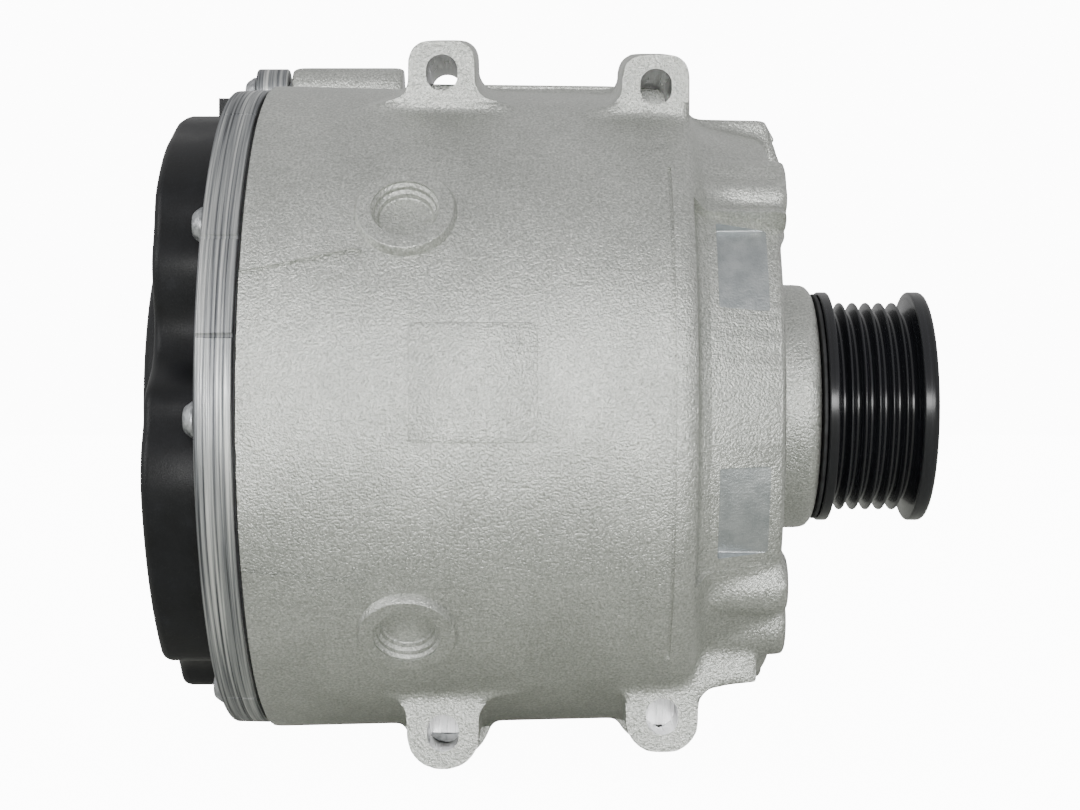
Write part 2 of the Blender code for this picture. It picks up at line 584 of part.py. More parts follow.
def bearing_retainer():
    plate_x = (FRONT_WALL_X - 3.3 * MM, FRONT_WALL_X - GAP)
    retainer = ring("bearing_retainer", plate_x, (20.5 * MM, 34 * MM), MID_STEPS, ZINC_STEEL)
    for k in range(3):
        degrees = 90 + 120 * k
        start = around_axis(RETAINER_SCREW_CIRCLE_R, degrees, plate_x[0] - 1 * MM)
        end = around_axis(RETAINER_SCREW_CIRCLE_R, degrees, plate_x[1] + 1 * MM)
        cut(retainer, rod(f"retainer_plate_hole_{k + 1}", start, end, 2 * MM + GAP, TINY_STEPS))
        seat = around_axis(RETAINER_SCREW_CIRCLE_R, degrees, plate_x[0] - GAP)
        screw_size = ((2 * MM, 12 * MM), (3.8 * MM, 2.4 * MM))
        headed_bolt(f"retainer_screw_{k + 1}", seat, (-1, 0, 0), *screw_size, ZINC_STEEL)


# ---------------------------------------------------------------- rear bracket and cover


def rear_bracket():
    low, high = BRACKET_X
    seat_r = REAR_BEARING["outer_r"] + GAP
    bearing_end = REAR_BEARING["x"] + REAR_BEARING["width"] / 2 + GAP
    profile = [(bearing_end + 1.5 * MM, seat_r - 3.5 * MM), (bearing_end + 1.5 * MM, seat_r + 4 * MM)]
    profile += [(low + 4 * MM, seat_r + 4 * MM), (low + 4 * MM, 67 * MM), (high, 67 * MM), (high, BRACKET_R)]
    profile += [(low, BRACKET_R), (low, seat_r + 4 * MM), (-82.2 * MM, seat_r + 4 * MM), (-82.2 * MM, seat_r)]
    profile += [(bearing_end, seat_r), (bearing_end, seat_r - 3.5 * MM)]
    bracket = turned("rear_bracket", profile, BIG_STEPS, MACHINED)
    start, end = (low + 0.2 * MM, LUG_Y, LUG_Z), (high - 0.2 * MM, LUG_Y, LUG_Z)
    lug = rod("bracket_lug", start, end, 7 * MM, SMALL_STEPS)
    root_low = (low + 0.4 * MM, LUG_Y - 6 * MM, 74 * MM)
    join(bracket, lug, box("lug_root", root_low, (high - 0.4 * MM, LUG_Y + 6 * MM, LUG_Z)))
    start, end = (low - 2 * MM, LUG_Y, LUG_Z), (high + 2 * MM, LUG_Y, LUG_Z)
    cut(bracket, rod("lug_hole", start, end, 3 * MM + GAP, TINY_STEPS))
    for k in range(6):
        window = arc((0, 0), 60 * MM, 60 * k, 60 * k + 36, 4) + arc((0, 0), 32 * MM, 60 * k + 36, 60 * k, 3)
        cut(bracket, plate(f"window_{k + 1}", [window], low - 1 * MM, low + 6 * MM, FACING_SIDE))
    for k, degrees in enumerate(SCREW_ANGLES):
        start = around_axis(SCREW_CIRCLE_R, degrees, low - 1 * MM)
        end = around_axis(SCREW_CIRCLE_R, degrees, high + 1 * MM)
        cut(bracket, rod(f"bracket_hole_{k + 1}", start, end, 2.4 * MM + GAP, TINY_STEPS))
        seat = around_axis(SCREW_CIRCLE_R, degrees, low - GAP)
        screw_size = ((2.4 * MM, 16 * MM), (4.4 * MM, 2.8 * MM))
        headed_bolt(f"bracket_screw_{k + 1}", seat, (-1, 0, 0), *screw_size, ZINC_STEEL)
    bolt_size = ((3 * MM, 32 * MM), (4.6 * MM, 3.2 * MM))
    headed_bolt("lug_bolt", (low - GAP, LUG_Y, LUG_Z), (-1, 0, 0), *bolt_size, ZINC_STEEL)

    gasket_x = (high + GAP, DRUM_REAR_X - GAP)
    ring("bracket_gasket", gasket_x, (SCREW_CIRCLE_R + 3 * MM, BRACKET_R - 1 * MM), BIG_STEPS, RUBBER)


def cover_radius(degrees):
    """The cover's outline, by straight steps between its corner points."""
    degrees = (degrees + 180.0) % 360.0 - 180.0
    for (first, first_r), (second, second_r) in zip(COVER_OUTLINE, COVER_OUTLINE[1:]):
        if first <= degrees <= second:
            return (first_r + (second_r - first_r) * (degrees - first) / (second - first)) * MM
    raise ValueError(degrees)


def rear_cover():
    """A moulded shell, open to the bracket, with a raised middle."""
    sides = 90
    bm = bmesh.new()
    bmesh.ops.create_circle(bm, cap_ends=True, segments=sides, radius=1.0)
    for k, vertex in enumerate(bm.verts):
        degrees = k * 360.0 / sides
        vertex.co = around_axis(cover_radius(degrees), degrees, COVER_FACE_X)
    bm.faces.ensure_lookup_table()
    face = bm.faces[0]
    rim = bmesh.ops.extrude_edge_only(bm, edges=face.edges[:])["geom"]
    for vertex in (item for item in rim if isinstance(item, bmesh.types.BMVert)):
        vertex.co.x = COVER_RIM_X
    for shrink, x in ((0.70, COVER_FACE_X), (0.914, COVER_TOP_X)):
        raised = bmesh.ops.extrude_face_region(bm, geom=[face])["geom"]
        bmesh.ops.delete(bm, geom=[face], context="FACES_ONLY")
        face = next(item for item in raised if isinstance(item, bmesh.types.BMFace))
        for vertex in face.verts:
            vertex.co = (x, vertex.co.y * shrink, vertex.co.z * shrink)
    bmesh.ops.recalc_face_normals(bm, faces=bm.faces[:])
    cover = place("rear_cover", mesh_from(bm, "rear_cover"), BLACK_PLASTIC)
    shell = cover.modifiers.new("wall", "SOLIDIFY")
    shell.thickness = COVER_WALL
    shell.offset = -1.0
    shell.use_even_offset = True


# ---------------------------------------------------------------- rectifier, brushes, connections


def heat_sink(name, size):
    inner_r, outer_r = size["r"]
    start, end = SINK_SPAN
    outline = arc((0, 0), outer_r, start, end, 16) + arc((0, 0), inner_r, end, start, 12)
    sink = plate(name, [outline], *size["x"], FACING_SIDE, MACHINED)
    for k, degrees in enumerate(DIODE_ANGLES):
        angle = math.radians(degrees)
        y, z = size["diodes_r"] * math.cos(angle), size["diodes_r"] * math.sin(angle)
        low, high = size["x"][0] - 3.2 * MM, size["x"][1]
        start, end = (low, y, z), (high + 1 * MM, y, z)
        cut(sink, rod(f"{name}_hole_{k + 1}", start, end, DIODE_R + GAP, TINY_STEPS))
        rod(f"{name[10:]}_diode_{k + 1}", (low, y, z), (high, y, z), DIODE_R, TINY_STEPS, ZINC_STEEL)


def brush_gear():
    thick, wide, tall = BRUSH
    low_corner, high_corner = (-96.0 * MM, -6 * MM, 10.5 * MM), (-82.6 * MM, 6 * MM, 33 * MM)
    holder = box("brush_holder", low_corner, high_corner, BLACK_PLASTIC)
    for name, (low, high) in SLIP_RINGS.items():
        middle = (low + high) / 2
        bottom = SLIP_RING_R + GAP
        low_corner = (middle - thick / 2, -wide / 2, bottom)
        box(f"brush_{name}", low_corner, (middle + thick / 2, wide / 2, bottom + tall), CARBON)
        channel_low = (middle - thick / 2 - GAP, -wide / 2 - GAP, 5 * MM)
        channel_high = (middle + thick / 2 + GAP, wide / 2 + GAP, bottom + tall + 8 * MM)
        cut(holder, box(f"brush_channel_{name}", channel_low, channel_high))
    box("voltage_regulator", (-91.5 * MM, 7 * MM, 12 * MM), (-82.6 * MM, 44 * MM, 40 * MM), BLACK_PLASTIC)


def connections():
    socket = box("connector_socket", *SOCKET, BLACK_PLASTIC)
    cut(socket, box("socket_hollow", (-95 * MM, 6 * MM, 76.6 * MM), (-82.6 * MM, 22 * MM, 82.6 * MM)))
    collar = [(0.0, 0.0), (0.0, 3 * MM), (-12 * MM, 3 * MM), (-12 * MM, 6 * MM)]
    collar += [(-15.2 * MM, 6 * MM), (-15.2 * MM, 0.0)]
    turn = Vector((-1, 0, 0)).to_track_quat("Z", "Y").to_matrix().to_4x4()
    base = Matrix.Translation((-96.0 * MM, STUD_Y, STUD_Z)) @ turn
    turned("terminal_stud", collar, TINY_STEPS, BRASS, base)
    start, end = (-92.5 * MM, STUD_Y, STUD_Z), (-87.5 * MM, STUD_Y, STUD_Z)
    nut = rod("terminal_nut", start, end, 6.5 * MM, 6, ZINC_STEEL)
    start, end = (-97 * MM, STUD_Y, STUD_Z), (-80 * MM, STUD_Y, STUD_Z)
    cut(nut, rod("nut_hole", start, end, 3 * MM + GAP, TINY_STEPS))
    for name, z in (("lower", -PORT_Z), ("upper", PORT_Z)):
        low, high = SPIGOT_Y
        groove_r = 8.8 * MM
        profile = [(high, 7.5 * MM), (high, PORT_R - 1 * MM), (high - 1 * MM, PORT_R), (94 * MM, PORT_R)]
        profile += [(94 * MM, groove_r), (91 * MM, groove_r), (91 * MM, PORT_R), (low, PORT_R)]
        profile.append((low, 7.5 * MM))
        outwards = Vector((0, 1, 0)).to_track_quat("Z", "Y").to_matrix().to_4x4()
        centre = Matrix.Translation((PORT_X, 0, z)) @ outwards
        turned(f"coolant_spigot_{name}", profile, SMALL_STEPS, ZINC_STEEL, centre)
        seal_r = (groove_r + GAP, 10.6 * MM)
        seal = [(93.7 * MM, seal_r[0]), (93.7 * MM, seal_r[1])]
        seal += [(91.3 * MM, seal_r[1]), (91.3 * MM, seal_r[0])]
        turned(f"spigot_seal_{name}", seal, SMALL_STEPS, RUBBER, centre)


# ---------------------------------------------------------------- pulley


def pulley():
    """The grooved rim, the one-way clutch that carries it, the hub on the shaft, and the covers."""
    low, high = PULLEY_X
    profile = [(high, PULLEY_BORE_R + 1.8 * MM), (high, FLANGE_R - 1.4 * MM), (high - 1.2 * MM, FLANGE_R)]
    profile += [(99.1 * MM, FLANGE_R), (98.3 * MM, CREST_R)]
    for k in reversed(range(GROOVES)):
        middle = FIRST_GROOVE_X + k * GROOVE_PITCH
        for offset, radius in ((1.35, CREST_R), (0.3, GROOVE_R), (-0.3, GROOVE_R), (-1.35, CREST_R)):
            profile.append((middle + offset * MM, radius))
    profile += [(77.2 * MM, FLANGE_R), (low, FLANGE_R), (low, PULLEY_BORE_R)]
    profile += [(100.3 * MM, PULLEY_BORE_R), (100.3 * MM, PULLEY_BORE_R + 1.8 * MM)]
    turned("pulley_rim", profile, PULLEY_STEPS, BLACK_STEEL)
    seal_r = (HUB_R + 0.4 * MM, FLANGE_R - 0.5 * MM)
    ring("pulley_seal", (low - 1.3 * MM, low - GAP), seal_r, MID_STEPS, RUBBER)
    ring("pulley_hub", HUB_X, (PULLEY_SEAT_R + GAP, HUB_R), MID_STEPS, STEEL)
    ring("clutch_rollers", (78 * MM, 97 * MM), (HUB_R + GAP, PULLEY_BORE_R - GAP), MID_STEPS, STEEL)
    cap_r = PULLEY_BORE_R + 1.4 * MM
    cap = [(CAP_TOP_X, 0.0), (CAP_TOP_X - 0.4 * MM, 7 * MM), (CAP_TOP_X - 1.6 * MM, 13 * MM)]
    cap += [(CAP_TOP_X - 3.8 * MM, 18.6 * MM), (101.8 * MM, cap_r), (100.6 * MM, cap_r), (100.6 * MM, 0.0)]
    turned("dust_cap", cap, MID_STEPS, BLACK_PLASTIC)


HOUSING = housing_blank()
add_housing_bosses(HOUSING)
hollow_housing(HOUSING)
drill_housing(HOUSING)
ear_bushings()
cooling_sleeve()
stator()
rotor()
bearing("front", FRONT_BEARING)
bearing("rear", REAR_BEARING)
bearing_retainer()
rear_bracket()
rear_cover()
heat_sink("heat_sink_negative", NEGATIVE_SINK)
heat_sink("heat_sink_positive", POSITIVE_SINK)
brush_gear()
connections()
pulley()
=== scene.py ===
import json
import math

import bpy
from mathutils import Matrix, Vector


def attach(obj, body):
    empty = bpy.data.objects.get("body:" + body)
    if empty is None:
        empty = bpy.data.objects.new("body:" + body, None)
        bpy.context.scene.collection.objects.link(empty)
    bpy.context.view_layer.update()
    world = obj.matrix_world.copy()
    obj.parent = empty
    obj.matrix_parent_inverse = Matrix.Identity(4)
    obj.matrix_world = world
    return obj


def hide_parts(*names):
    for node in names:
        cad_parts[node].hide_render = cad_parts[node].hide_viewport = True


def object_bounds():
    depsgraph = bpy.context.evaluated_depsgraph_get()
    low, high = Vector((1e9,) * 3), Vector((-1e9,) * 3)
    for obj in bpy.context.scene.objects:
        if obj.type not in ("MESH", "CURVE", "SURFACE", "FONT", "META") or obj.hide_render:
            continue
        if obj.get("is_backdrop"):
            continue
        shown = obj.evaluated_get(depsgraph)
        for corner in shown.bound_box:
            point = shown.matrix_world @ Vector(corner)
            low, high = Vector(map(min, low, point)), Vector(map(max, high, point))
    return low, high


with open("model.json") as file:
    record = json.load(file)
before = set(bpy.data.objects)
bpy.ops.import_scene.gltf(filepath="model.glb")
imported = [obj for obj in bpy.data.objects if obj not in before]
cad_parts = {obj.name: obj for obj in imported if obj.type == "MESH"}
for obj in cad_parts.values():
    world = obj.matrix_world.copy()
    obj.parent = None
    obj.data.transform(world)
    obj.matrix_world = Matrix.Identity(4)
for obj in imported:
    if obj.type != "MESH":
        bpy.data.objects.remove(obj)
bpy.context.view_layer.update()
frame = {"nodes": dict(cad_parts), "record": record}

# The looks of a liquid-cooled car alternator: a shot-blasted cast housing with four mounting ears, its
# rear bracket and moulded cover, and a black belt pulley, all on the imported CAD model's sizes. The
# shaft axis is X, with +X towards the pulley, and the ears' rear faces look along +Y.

MM = 0.001

# ---------------------------------------------------------------- sizes

# Housing, by X along the shaft and radius.
DRUM_REAR_X = -70.4 * MM
DRUM_REAR_R = 85.9 * MM
SHOULDER_X = 32.0 * MM
SHOULDER_R = 83.4 * MM
NECK_START_X = 40.5 * MM
NECK_START_R = 75.5 * MM
NECK_END_X = 58.8 * MM
NECK_END_R = 71.2 * MM
NECK_SPARE = 0.4 * MM  # left on the neck's near side, and trimmed off once the corners are soft
EAR_SPARE = 1.2 * MM  # left on the ears' front faces, and milled off
RIM_SPARE = 0.25 * MM  # the drum and the bracket reach this far over the gasket
BOSS_R = 32.9 * MM
BOSS_END_X = 72.6 * MM
DRUM_BORE_R = 75.0 * MM
CHANNEL_R = 80.5 * MM
CHANNELS_X = ((-57.0 * MM, -42.0 * MM), (-9.0 * MM, 12.0 * MM))
SLEEVE_STOP_X = 24.0 * MM
NECK_BORE_R = 66.0 * MM
FRONT_WALL_X = 53.6 * MM
BEARING_SEAT_R = 26.3 * MM
BEARING_SEAT_END_X = 70.9 * MM
SEAL_OPENING_R = 21.5 * MM

# Ears: bolt holes as (X, Z), and where their faces are.
UPPER_EARS = ((-24.8 * MM, 84.2 * MM), (29.3 * MM, 80.6 * MM))
LOWER_EARS = ((-24.3 * MM, -81.9 * MM), (30.6 * MM, -77.7 * MM))
EAR_REAR_Y = -6.5 * MM
UPPER_FRONT_Y = -40.0 * MM
LOWER_FRONT_Y = -44.0 * MM
FORK_GAP_Y = (-31.0 * MM, -17.0 * MM)
EAR_HALF_WIDTH = 8.9 * MM
REAR_LUG_R = 11.5 * MM
BOLT_R = 4.6 * MM
FACING_DEPTH_Z = 80.2 * MM
POCKET_ANGLES = (33.0, -40.0)  # degrees from -Y towards +Z

# Rear bracket, cover and their screws.
BRACKET_X = (-80.4 * MM, -71.5 * MM)
BRACKET_R = 84.8 * MM
LUG_Y = 30.0 * MM
LUG_Z = 89.2 * MM
LUG_HOLE_R = 3.3 * MM
SCREW_CIRCLE_R = 78.0 * MM
SCREW_ANGLES = (33.9, -2.3, -66.7, -128.0, 176.0, 112.0)  # degrees from -Y towards +Z
COVER_RIM_X = -80.8 * MM
COVER_WALL = 11.3 * MM  # how far the cover's side runs along X before its edge rounds over
COVER_FACE_X = -94.0 * MM
COVER_TOP_X = -98.8 * MM
COVER_OUTLINE = (  # degrees, and radius in mm: full round but for hollows at the screws and a waist
    (-180, 71), (-174, 78), (-150, 78), (-138, 78), (-132, 71), (-122, 69), (-98, 69), (-90, 70),
    (-78, 76), (-72, 71), (-61, 71), (-55, 78.5), (-14, 78.5), (-7, 75.8), (-2.5, 71.6), (2.5, 71.6),
    (8, 63.2), (12, 60.3), (18, 60.2), (22.5, 63.2), (26.5, 68), (31, 71.6), (36, 72.4), (43.5, 77.6),
    (52, 78.3), (59, 78.3), (62, 77.8), (65, 77.7), (68, 77.8), (71.5, 78.3), (75, 77.9), (78, 78),
    (87, 78), (92, 71), (123, 71), (130, 78), (165, 78), (171, 71), (180, 71),
)  # fmt: skip

# Pulley.
GROOVE_PITCH = 3.56 * MM
GROOVES = 6
FIRST_GROOVE_X = 79.1 * MM
CREST_R = 28.05 * MM
GROOVE_R = 25.2 * MM
FLANGE_R = 30.9 * MM
PULLEY_X = (74.5 * MM, 103.0 * MM)
PULLEY_BORE_R = 20.0 * MM

# Coolant ports and the terminal.
PORT_PAD_X = (-44.0 * MM, 4.0 * MM)
PORT_PAD_Y = 88.0 * MM
PORT_X = -20.0 * MM
PORT_Z = 24.0 * MM
PORT_R = 10.0 * MM

RING_MARKS_R = 80.0 * MM  # inside this, tool marks are rings on a face as well
ROUND_STEPS = 160  # segments in a large turned shape
CASTING_GRID = 1.15 * MM  # the mesh that softens the casting's corners
WHITE_GLOW = 12.0  # how bright the surroundings look to the camera


# ---------------------------------------------------------------- materials


def linear(hex_colour):
    """A linear colour from sRGB hex."""
    channels = [int(hex_colour[k : k + 2], 16) / 255 for k in (0, 2, 4)]
    return (*[c / 12.92 if c <= 0.04045 else ((c + 0.055) / 1.055) ** 2.4 for c in channels], 1.0)


def node(tree, kind, settings=None, inputs=None):
    """Adds a node with its settings. An input is a value, or a socket to link it to."""
    new = tree.nodes.new(kind)
    for name, value in (settings or {}).items():
        setattr(new, name, value)
    for name, value in (inputs or {}).items():
        if isinstance(value, bpy.types.NodeSocket):
            tree.links.new(value, new.inputs[name])
        else:
            new.inputs[name].default_value = value
    return new


def finish_named(name, metallic, roughness):
    """A new material, its node tree and its shader."""
    made = bpy.data.materials.new(name)
    made.use_nodes = True
    shader = made.node_tree.nodes["Principled BSDF"]
    shader.inputs["Metallic"].default_value = metallic
    shader.inputs["Roughness"].default_value = roughness
    return made, made.node_tree, shader


def ramp(tree, factor, stops):
    """A colour ramp through (position, sRGB hex) stops."""
    new = node(tree, "ShaderNodeValToRGB", {}, {"Fac": factor})
    while len(new.color_ramp.elements) < len(stops):
        new.color_ramp.elements.new(0.5)
    for element, (position, colour) in zip(new.color_ramp.elements, stops):
        element.position = position
        element.color = linear(colour)
    return new.outputs["Color"]


def spread(tree, factor, low, high):
    """Turns a noise value, mostly 0.3 to 0.7, into a number from low to high."""
    settings = {"From Min": 0.3, "From Max": 0.7, "To Min": low, "To Max": high}
    return node(tree, "ShaderNodeMapRange", {}, {"Value": factor, **settings}).outputs["Result"]


def grain(tree, place, size, detail=2.0, roughness=0.5):
    """Noise whose lumps are about size across."""
    inputs = {"Vector": place, "Scale": 1.0 / size, "Detail": detail, "Roughness": roughness}
    return node(tree, "ShaderNodeTexNoise", {}, inputs).outputs["Fac"]


def place_in(tree):
    return node(tree, "ShaderNodeTexCoord").outputs["Object"]


def relief(tree, height, depth, normal=None):
    """A bump from a height value, depth metres high."""
    inputs = {"Height": height, "Strength": 1.0, "Distance": depth}
    if normal is not None:
        inputs["Normal"] = normal
    return node(tree, "ShaderNodeBump", {}, inputs).outputs["Normal"]


def calculated(tree, operation, *values):
    """The result of one sum on values or sockets."""
    return node(tree, "ShaderNodeMath", {"operation": operation}, dict(enumerate(values))).outputs[0]


def around_shaft(tree, along_size, round_size):
    """Coordinates for marks that run round the shaft axis: fine along X and long round it. Outside
    RING_MARKS_R they depend on X alone, so they cross a lug squarely."""
    parts = node(tree, "ShaderNodeSeparateXYZ", {}, {"Vector": place_in(tree)}).outputs
    square = [calculated(tree, "POWER", parts[axis], 2.0) for axis in ("Y", "Z")]
    root = calculated(tree, "SQRT", calculated(tree, "ADD", *square))
    out = calculated(tree, "DIVIDE", calculated(tree, "MINIMUM", root, RING_MARKS_R), along_size)
    both = calculated(tree, "ADD", calculated(tree, "DIVIDE", parts["X"], along_size), out)
    turns = [calculated(tree, "DIVIDE", parts[axis], round_size) for axis in ("Y", "Z")]
    inputs = {"X": both, "Y": turns[0], "Z": turns[1]}
    return node(tree, "ShaderNodeCombineXYZ", {}, inputs).outputs["Vector"]


def streaks(tree, along_size, round_size, detail=3.0):
    inputs = {"Vector": around_shaft(tree, along_size, round_size), "Scale": 1.0, "Detail": detail}
    return node(tree, "ShaderNodeTexNoise", {}, inputs).outputs["Fac"]


def cast_aluminium():
    """Aluminium die casting, shot-blasted: a matt pale grey with a fine sparkling grain of about half a
    millimetre, faint cloudy patches, and a few smoother, brighter spots."""
    made, tree, shader = finish_named("shot_blasted_cast_aluminium", 0.9, 0.4)
    place = place_in(tree)
    fine = grain(tree, place, 0.6 * MM, 2.0, 0.6)
    patches = grain(tree, place, 22 * MM, 3.0, 0.5)
    mixed = node(
        tree, "ShaderNodeMix", {"data_type": "FLOAT"}, {"Factor": 0.75, "A": patches, "B": fine}
    ).outputs["Result"]
    colour = ramp(tree, mixed, [(0.3, "A2A49F"), (0.5, "C2C4BF"), (0.7, "E6E7E2")])
    tree.links.new(colour, shader.inputs["Base Color"])
    tree.links.new(spread(tree, fine, 0.3, 0.46), shader.inputs["Roughness"])
    coarse = relief(tree, grain(tree, place, 5 * MM, 2.0), 0.2 * MM)
    tree.links.new(relief(tree, fine, 0.35 * MM, coarse), shader.inputs["Normal"])
    return made


def pocket_shade_aluminium():
    """Cast aluminium for the neck pockets' floors, a little darker and bluer than the rest: painted shade for
    the shallow recesses. It is also smoother than the rest.
    """
    made, tree, shader = finish_named("pocket_shade_cast_aluminium", 0.9, 0.4)
    place = place_in(tree)
    cloud = grain(tree, place, 4 * MM, 3.0, 0.6)
    tree.links.new(ramp(tree, cloud, [(0.35, "A4A9AB"), (0.65, "B8BCBD")]), shader.inputs["Base Color"])
    tree.links.new(spread(tree, cloud, 0.36, 0.44), shader.inputs["Roughness"])
    tree.links.new(relief(tree, grain(tree, place, 0.6 * MM), 0.12 * MM), shader.inputs["Normal"])
    return made


def streaked_aluminium():
    """Cast aluminium whose rim was dressed on a lathe: bright and dark streaks run round the shaft."""
    made, tree, shader = finish_named("lathe_dressed_aluminium", 0.85, 0.4)
    broad = streaks(tree, 0.6 * MM, 60 * MM, 5.0)
    colour = ramp(tree, broad, [(0.34, "505255"), (0.45, "85878A"), (0.55, "AEB0B0"), (0.68, "E0E0DE")])
    tree.links.new(colour, shader.inputs["Base Color"])
    tree.links.new(spread(tree, streaks(tree, 0.5 * MM, 12 * MM), 0.3, 0.55), shader.inputs["Roughness"])
    tree.links.new(relief(tree, broad, 0.35 * MM), shader.inputs["Normal"])
    return made


def machined_aluminium():
    """Aluminium faced and bored on a machine: brighter than the casting, with fine tool marks."""
    made, tree, shader = finish_named("machined_aluminium", 1.0, 0.32)
    marks = streaks(tree, 0.35 * MM, 9 * MM)
    colour = ramp(tree, marks, [(0.3, "B4B5B6"), (0.7, "DCDCDC")])
    tree.links.new(colour, shader.inputs["Base Color"])
    tree.links.new(spread(tree, marks, 0.25, 0.42), shader.inputs["Roughness"])
    tree.links.new(relief(tree, marks, 0.03 * MM), shader.inputs["Normal"])
    return made


def moulded_plastic():
    """Glass-filled nylon, injection moulded: black with a satin face, a faint flow texture, and pale
    rubbed marks."""
    made, tree, shader = finish_named("glass_filled_nylon", 0.0, 0.38)
    place = place_in(tree)
    flow = grain(tree, place, 9 * MM, 4.0, 0.6)
    fine = grain(tree, place, 0.45 * MM, 2.0)
    colour = ramp(tree, flow, [(0.35, "0B0C0E"), (0.62, "121316"), (0.75, "1D1E22")])
    tree.links.new(colour, shader.inputs["Base Color"])
    tree.links.new(spread(tree, flow, 0.38, 0.48), shader.inputs["Roughness"])
    shader.inputs["Specular IOR Level"].default_value = 0.3
    tree.links.new(relief(tree, fine, 0.03 * MM), shader.inputs["Normal"])
    return made


def coated_steel():
    """Steel, turned and then coated black: smooth and glossy, with faint turning rings."""
    made, tree, shader = finish_named("black_electrocoated_steel", 0.0, 0.25)
    rings = streaks(tree, 0.4 * MM, 60 * MM, 1.0)
    colour = ramp(tree, rings, [(0.3, "121316"), (0.7, "1E1F23")])
    tree.links.new(colour, shader.inputs["Base Color"])
    tree.links.new(spread(tree, rings, 0.2, 0.28), shader.inputs["Roughness"])
    tree.links.new(relief(tree, rings, 0.008 * MM), shader.inputs["Normal"])
    shader.inputs["Specular IOR Level"].default_value = 0.45
    return made


def bright_steel():
    """Hardened steel, ground: mirror-like along the shaft with hair-fine rings round it."""
    made, tree, shader = finish_named("ground_steel", 1.0, 0.2)
    rings = streaks(tree, 0.3 * MM, 20 * MM)
    tree.links.new(ramp(tree, rings, [(0.3, "B9BBBE"), (0.7, "D6D7D8")]), shader.inputs["Base Color"])
    tree.links.new(spread(tree, rings, 0.14, 0.28), shader.inputs["Roughness"])
    return made


def zinc_steel():
    """Steel with zinc plating, passivated clear: dull silver-grey with a faint crystal mottle."""
    made, tree, shader = finish_named("zinc_plated_steel", 0.9, 0.38)
    mottle = grain(tree, place_in(tree), 1.2 * MM, 3.0)
    tree.links.new(ramp(tree, mottle, [(0.3, "8E9194"), (0.7, "C6C8CA")]), shader.inputs["Base Color"])
    tree.links.new(spread(tree, mottle, 0.3, 0.5), shader.inputs["Roughness"])
    tree.links.new(relief(tree, mottle, 0.05 * MM), shader.inputs["Normal"])
    return made


def laminated_steel():
    """Stacked electrical steel sheets: dark grey-blue, with a line between sheets every 0.5 mm, drawn
    at 1 mm so that it shows."""
    made, tree, shader = finish_named("electrical_steel_laminations", 0.9, 0.45)
    inputs = {"Vector": place_in(tree), "Scale": 1.0 / (1.0 * MM) / 20 * math.pi, "Distortion": 0.0}
    sheets = node(tree, "ShaderNodeTexWave", {"bands_direction": "X"}, inputs).outputs["Fac"]
    tree.links.new(ramp(tree, sheets, [(0.1, "2C2E31"), (0.5, "66686C")]), shader.inputs["Base Color"])
    tree.links.new(relief(tree, sheets, 0.08 * MM), shader.inputs["Normal"])
    return made


def winding_copper():
    """Enamelled copper wire: amber-brown varnish over copper, in strands 1.6 mm thick."""
    made, tree, shader = finish_named("enamelled_copper_wire", 0.8, 0.3)
    strands = streaks(tree, 1.6 * MM, 60 * MM, 0.0)
    colour = ramp(tree, strands, [(0.35, "3E1608"), (0.5, "8A3E18"), (0.7, "C4703A")])
    tree.links.new(colour, shader.inputs["Base Color"])
    tree.links.new(relief(tree, strands, 0.6 * MM), shader.inputs["Normal"])
    shader.inputs["Coat Weight"].default_value = 0.5
    return made


def bare_copper():
    """Turned copper: warm and bright, with tracks worn round it by the brushes."""
    made, tree, shader = finish_named("turned_copper", 1.0, 0.25)
    tracks = streaks(tree, 0.3 * MM, 20 * MM)
    tree.links.new(ramp(tree, tracks, [(0.3, "A5593A"), (0.7, "DD9774")]), shader.inputs["Base Color"])
    tree.links.new(spread(tree, tracks, 0.15, 0.35), shader.inputs["Roughness"])
    return made


def black_rubber():
    """Nitrile rubber, moulded: soft black with a dusty bloom."""
    made, tree, shader = finish_named("nitrile_rubber", 0.0, 0.65)
    bloom = grain(tree, place_in(tree), 2.5 * MM, 4.0)
    tree.links.new(ramp(tree, bloom, [(0.35, "18191A"), (0.7, "2E2F31")]), shader.inputs["Base Color"])
    tree.links.new(relief(tree, bloom, 0.05 * MM), shader.inputs["Normal"])
    return made


def brush_carbon():
    """Pressed carbon and copper powder: dark grey with a fine metallic fleck."""
    made, tree, shader = finish_named("pressed_carbon", 0.3, 0.55)
    flecks = grain(tree, place_in(tree), 0.35 * MM, 1.0)
    tree.links.new(ramp(tree, flecks, [(0.45, "1E1E1F"), (0.72, "6B5A50")]), shader.inputs["Base Color"])
    return made


def turned_brass():
    """Brass, turned: yellow and bright with fine rings."""
    made, tree, shader = finish_named("turned_brass", 1.0, 0.28)
    marks = grain(tree, place_in(tree), 0.6 * MM, 3.0)
    tree.links.new(ramp(tree, marks, [(0.3, "A9853F"), (0.7, "D9B86B")]), shader.inputs["Base Color"])
    tree.links.new(spread(tree, marks, 0.2, 0.38), shader.inputs["Roughness"])
    return made


FINISHES = {
    "cast_aluminium": cast_aluminium(),
    "machined_aluminium": machined_aluminium(),
    "black_plastic": moulded_plastic(),
    "black_steel": coated_steel(),
    "bright_steel": bright_steel(),
    "zinc_steel": zinc_steel(),
    "lamination_steel": laminated_steel(),
    "copper_winding": winding_copper(),
    "bare_copper": bare_copper(),
    "black_rubber": black_rubber(),
    "carbon": brush_carbon(),
    "brass": turned_brass(),
}
STREAKED = streaked_aluminium()
# The darker, bluer finish for the neck pockets' floors is painted shade.
POCKET_SHADE = pocket_shade_aluminium()


# ---------------------------------------------------------------- modelling


def only(piece):
    """Makes piece the one selected and active object."""
    bpy.ops.object.select_all(action="DESELECT")
    piece.select_set(True)
    bpy.context.view_layer.objects.active = piece


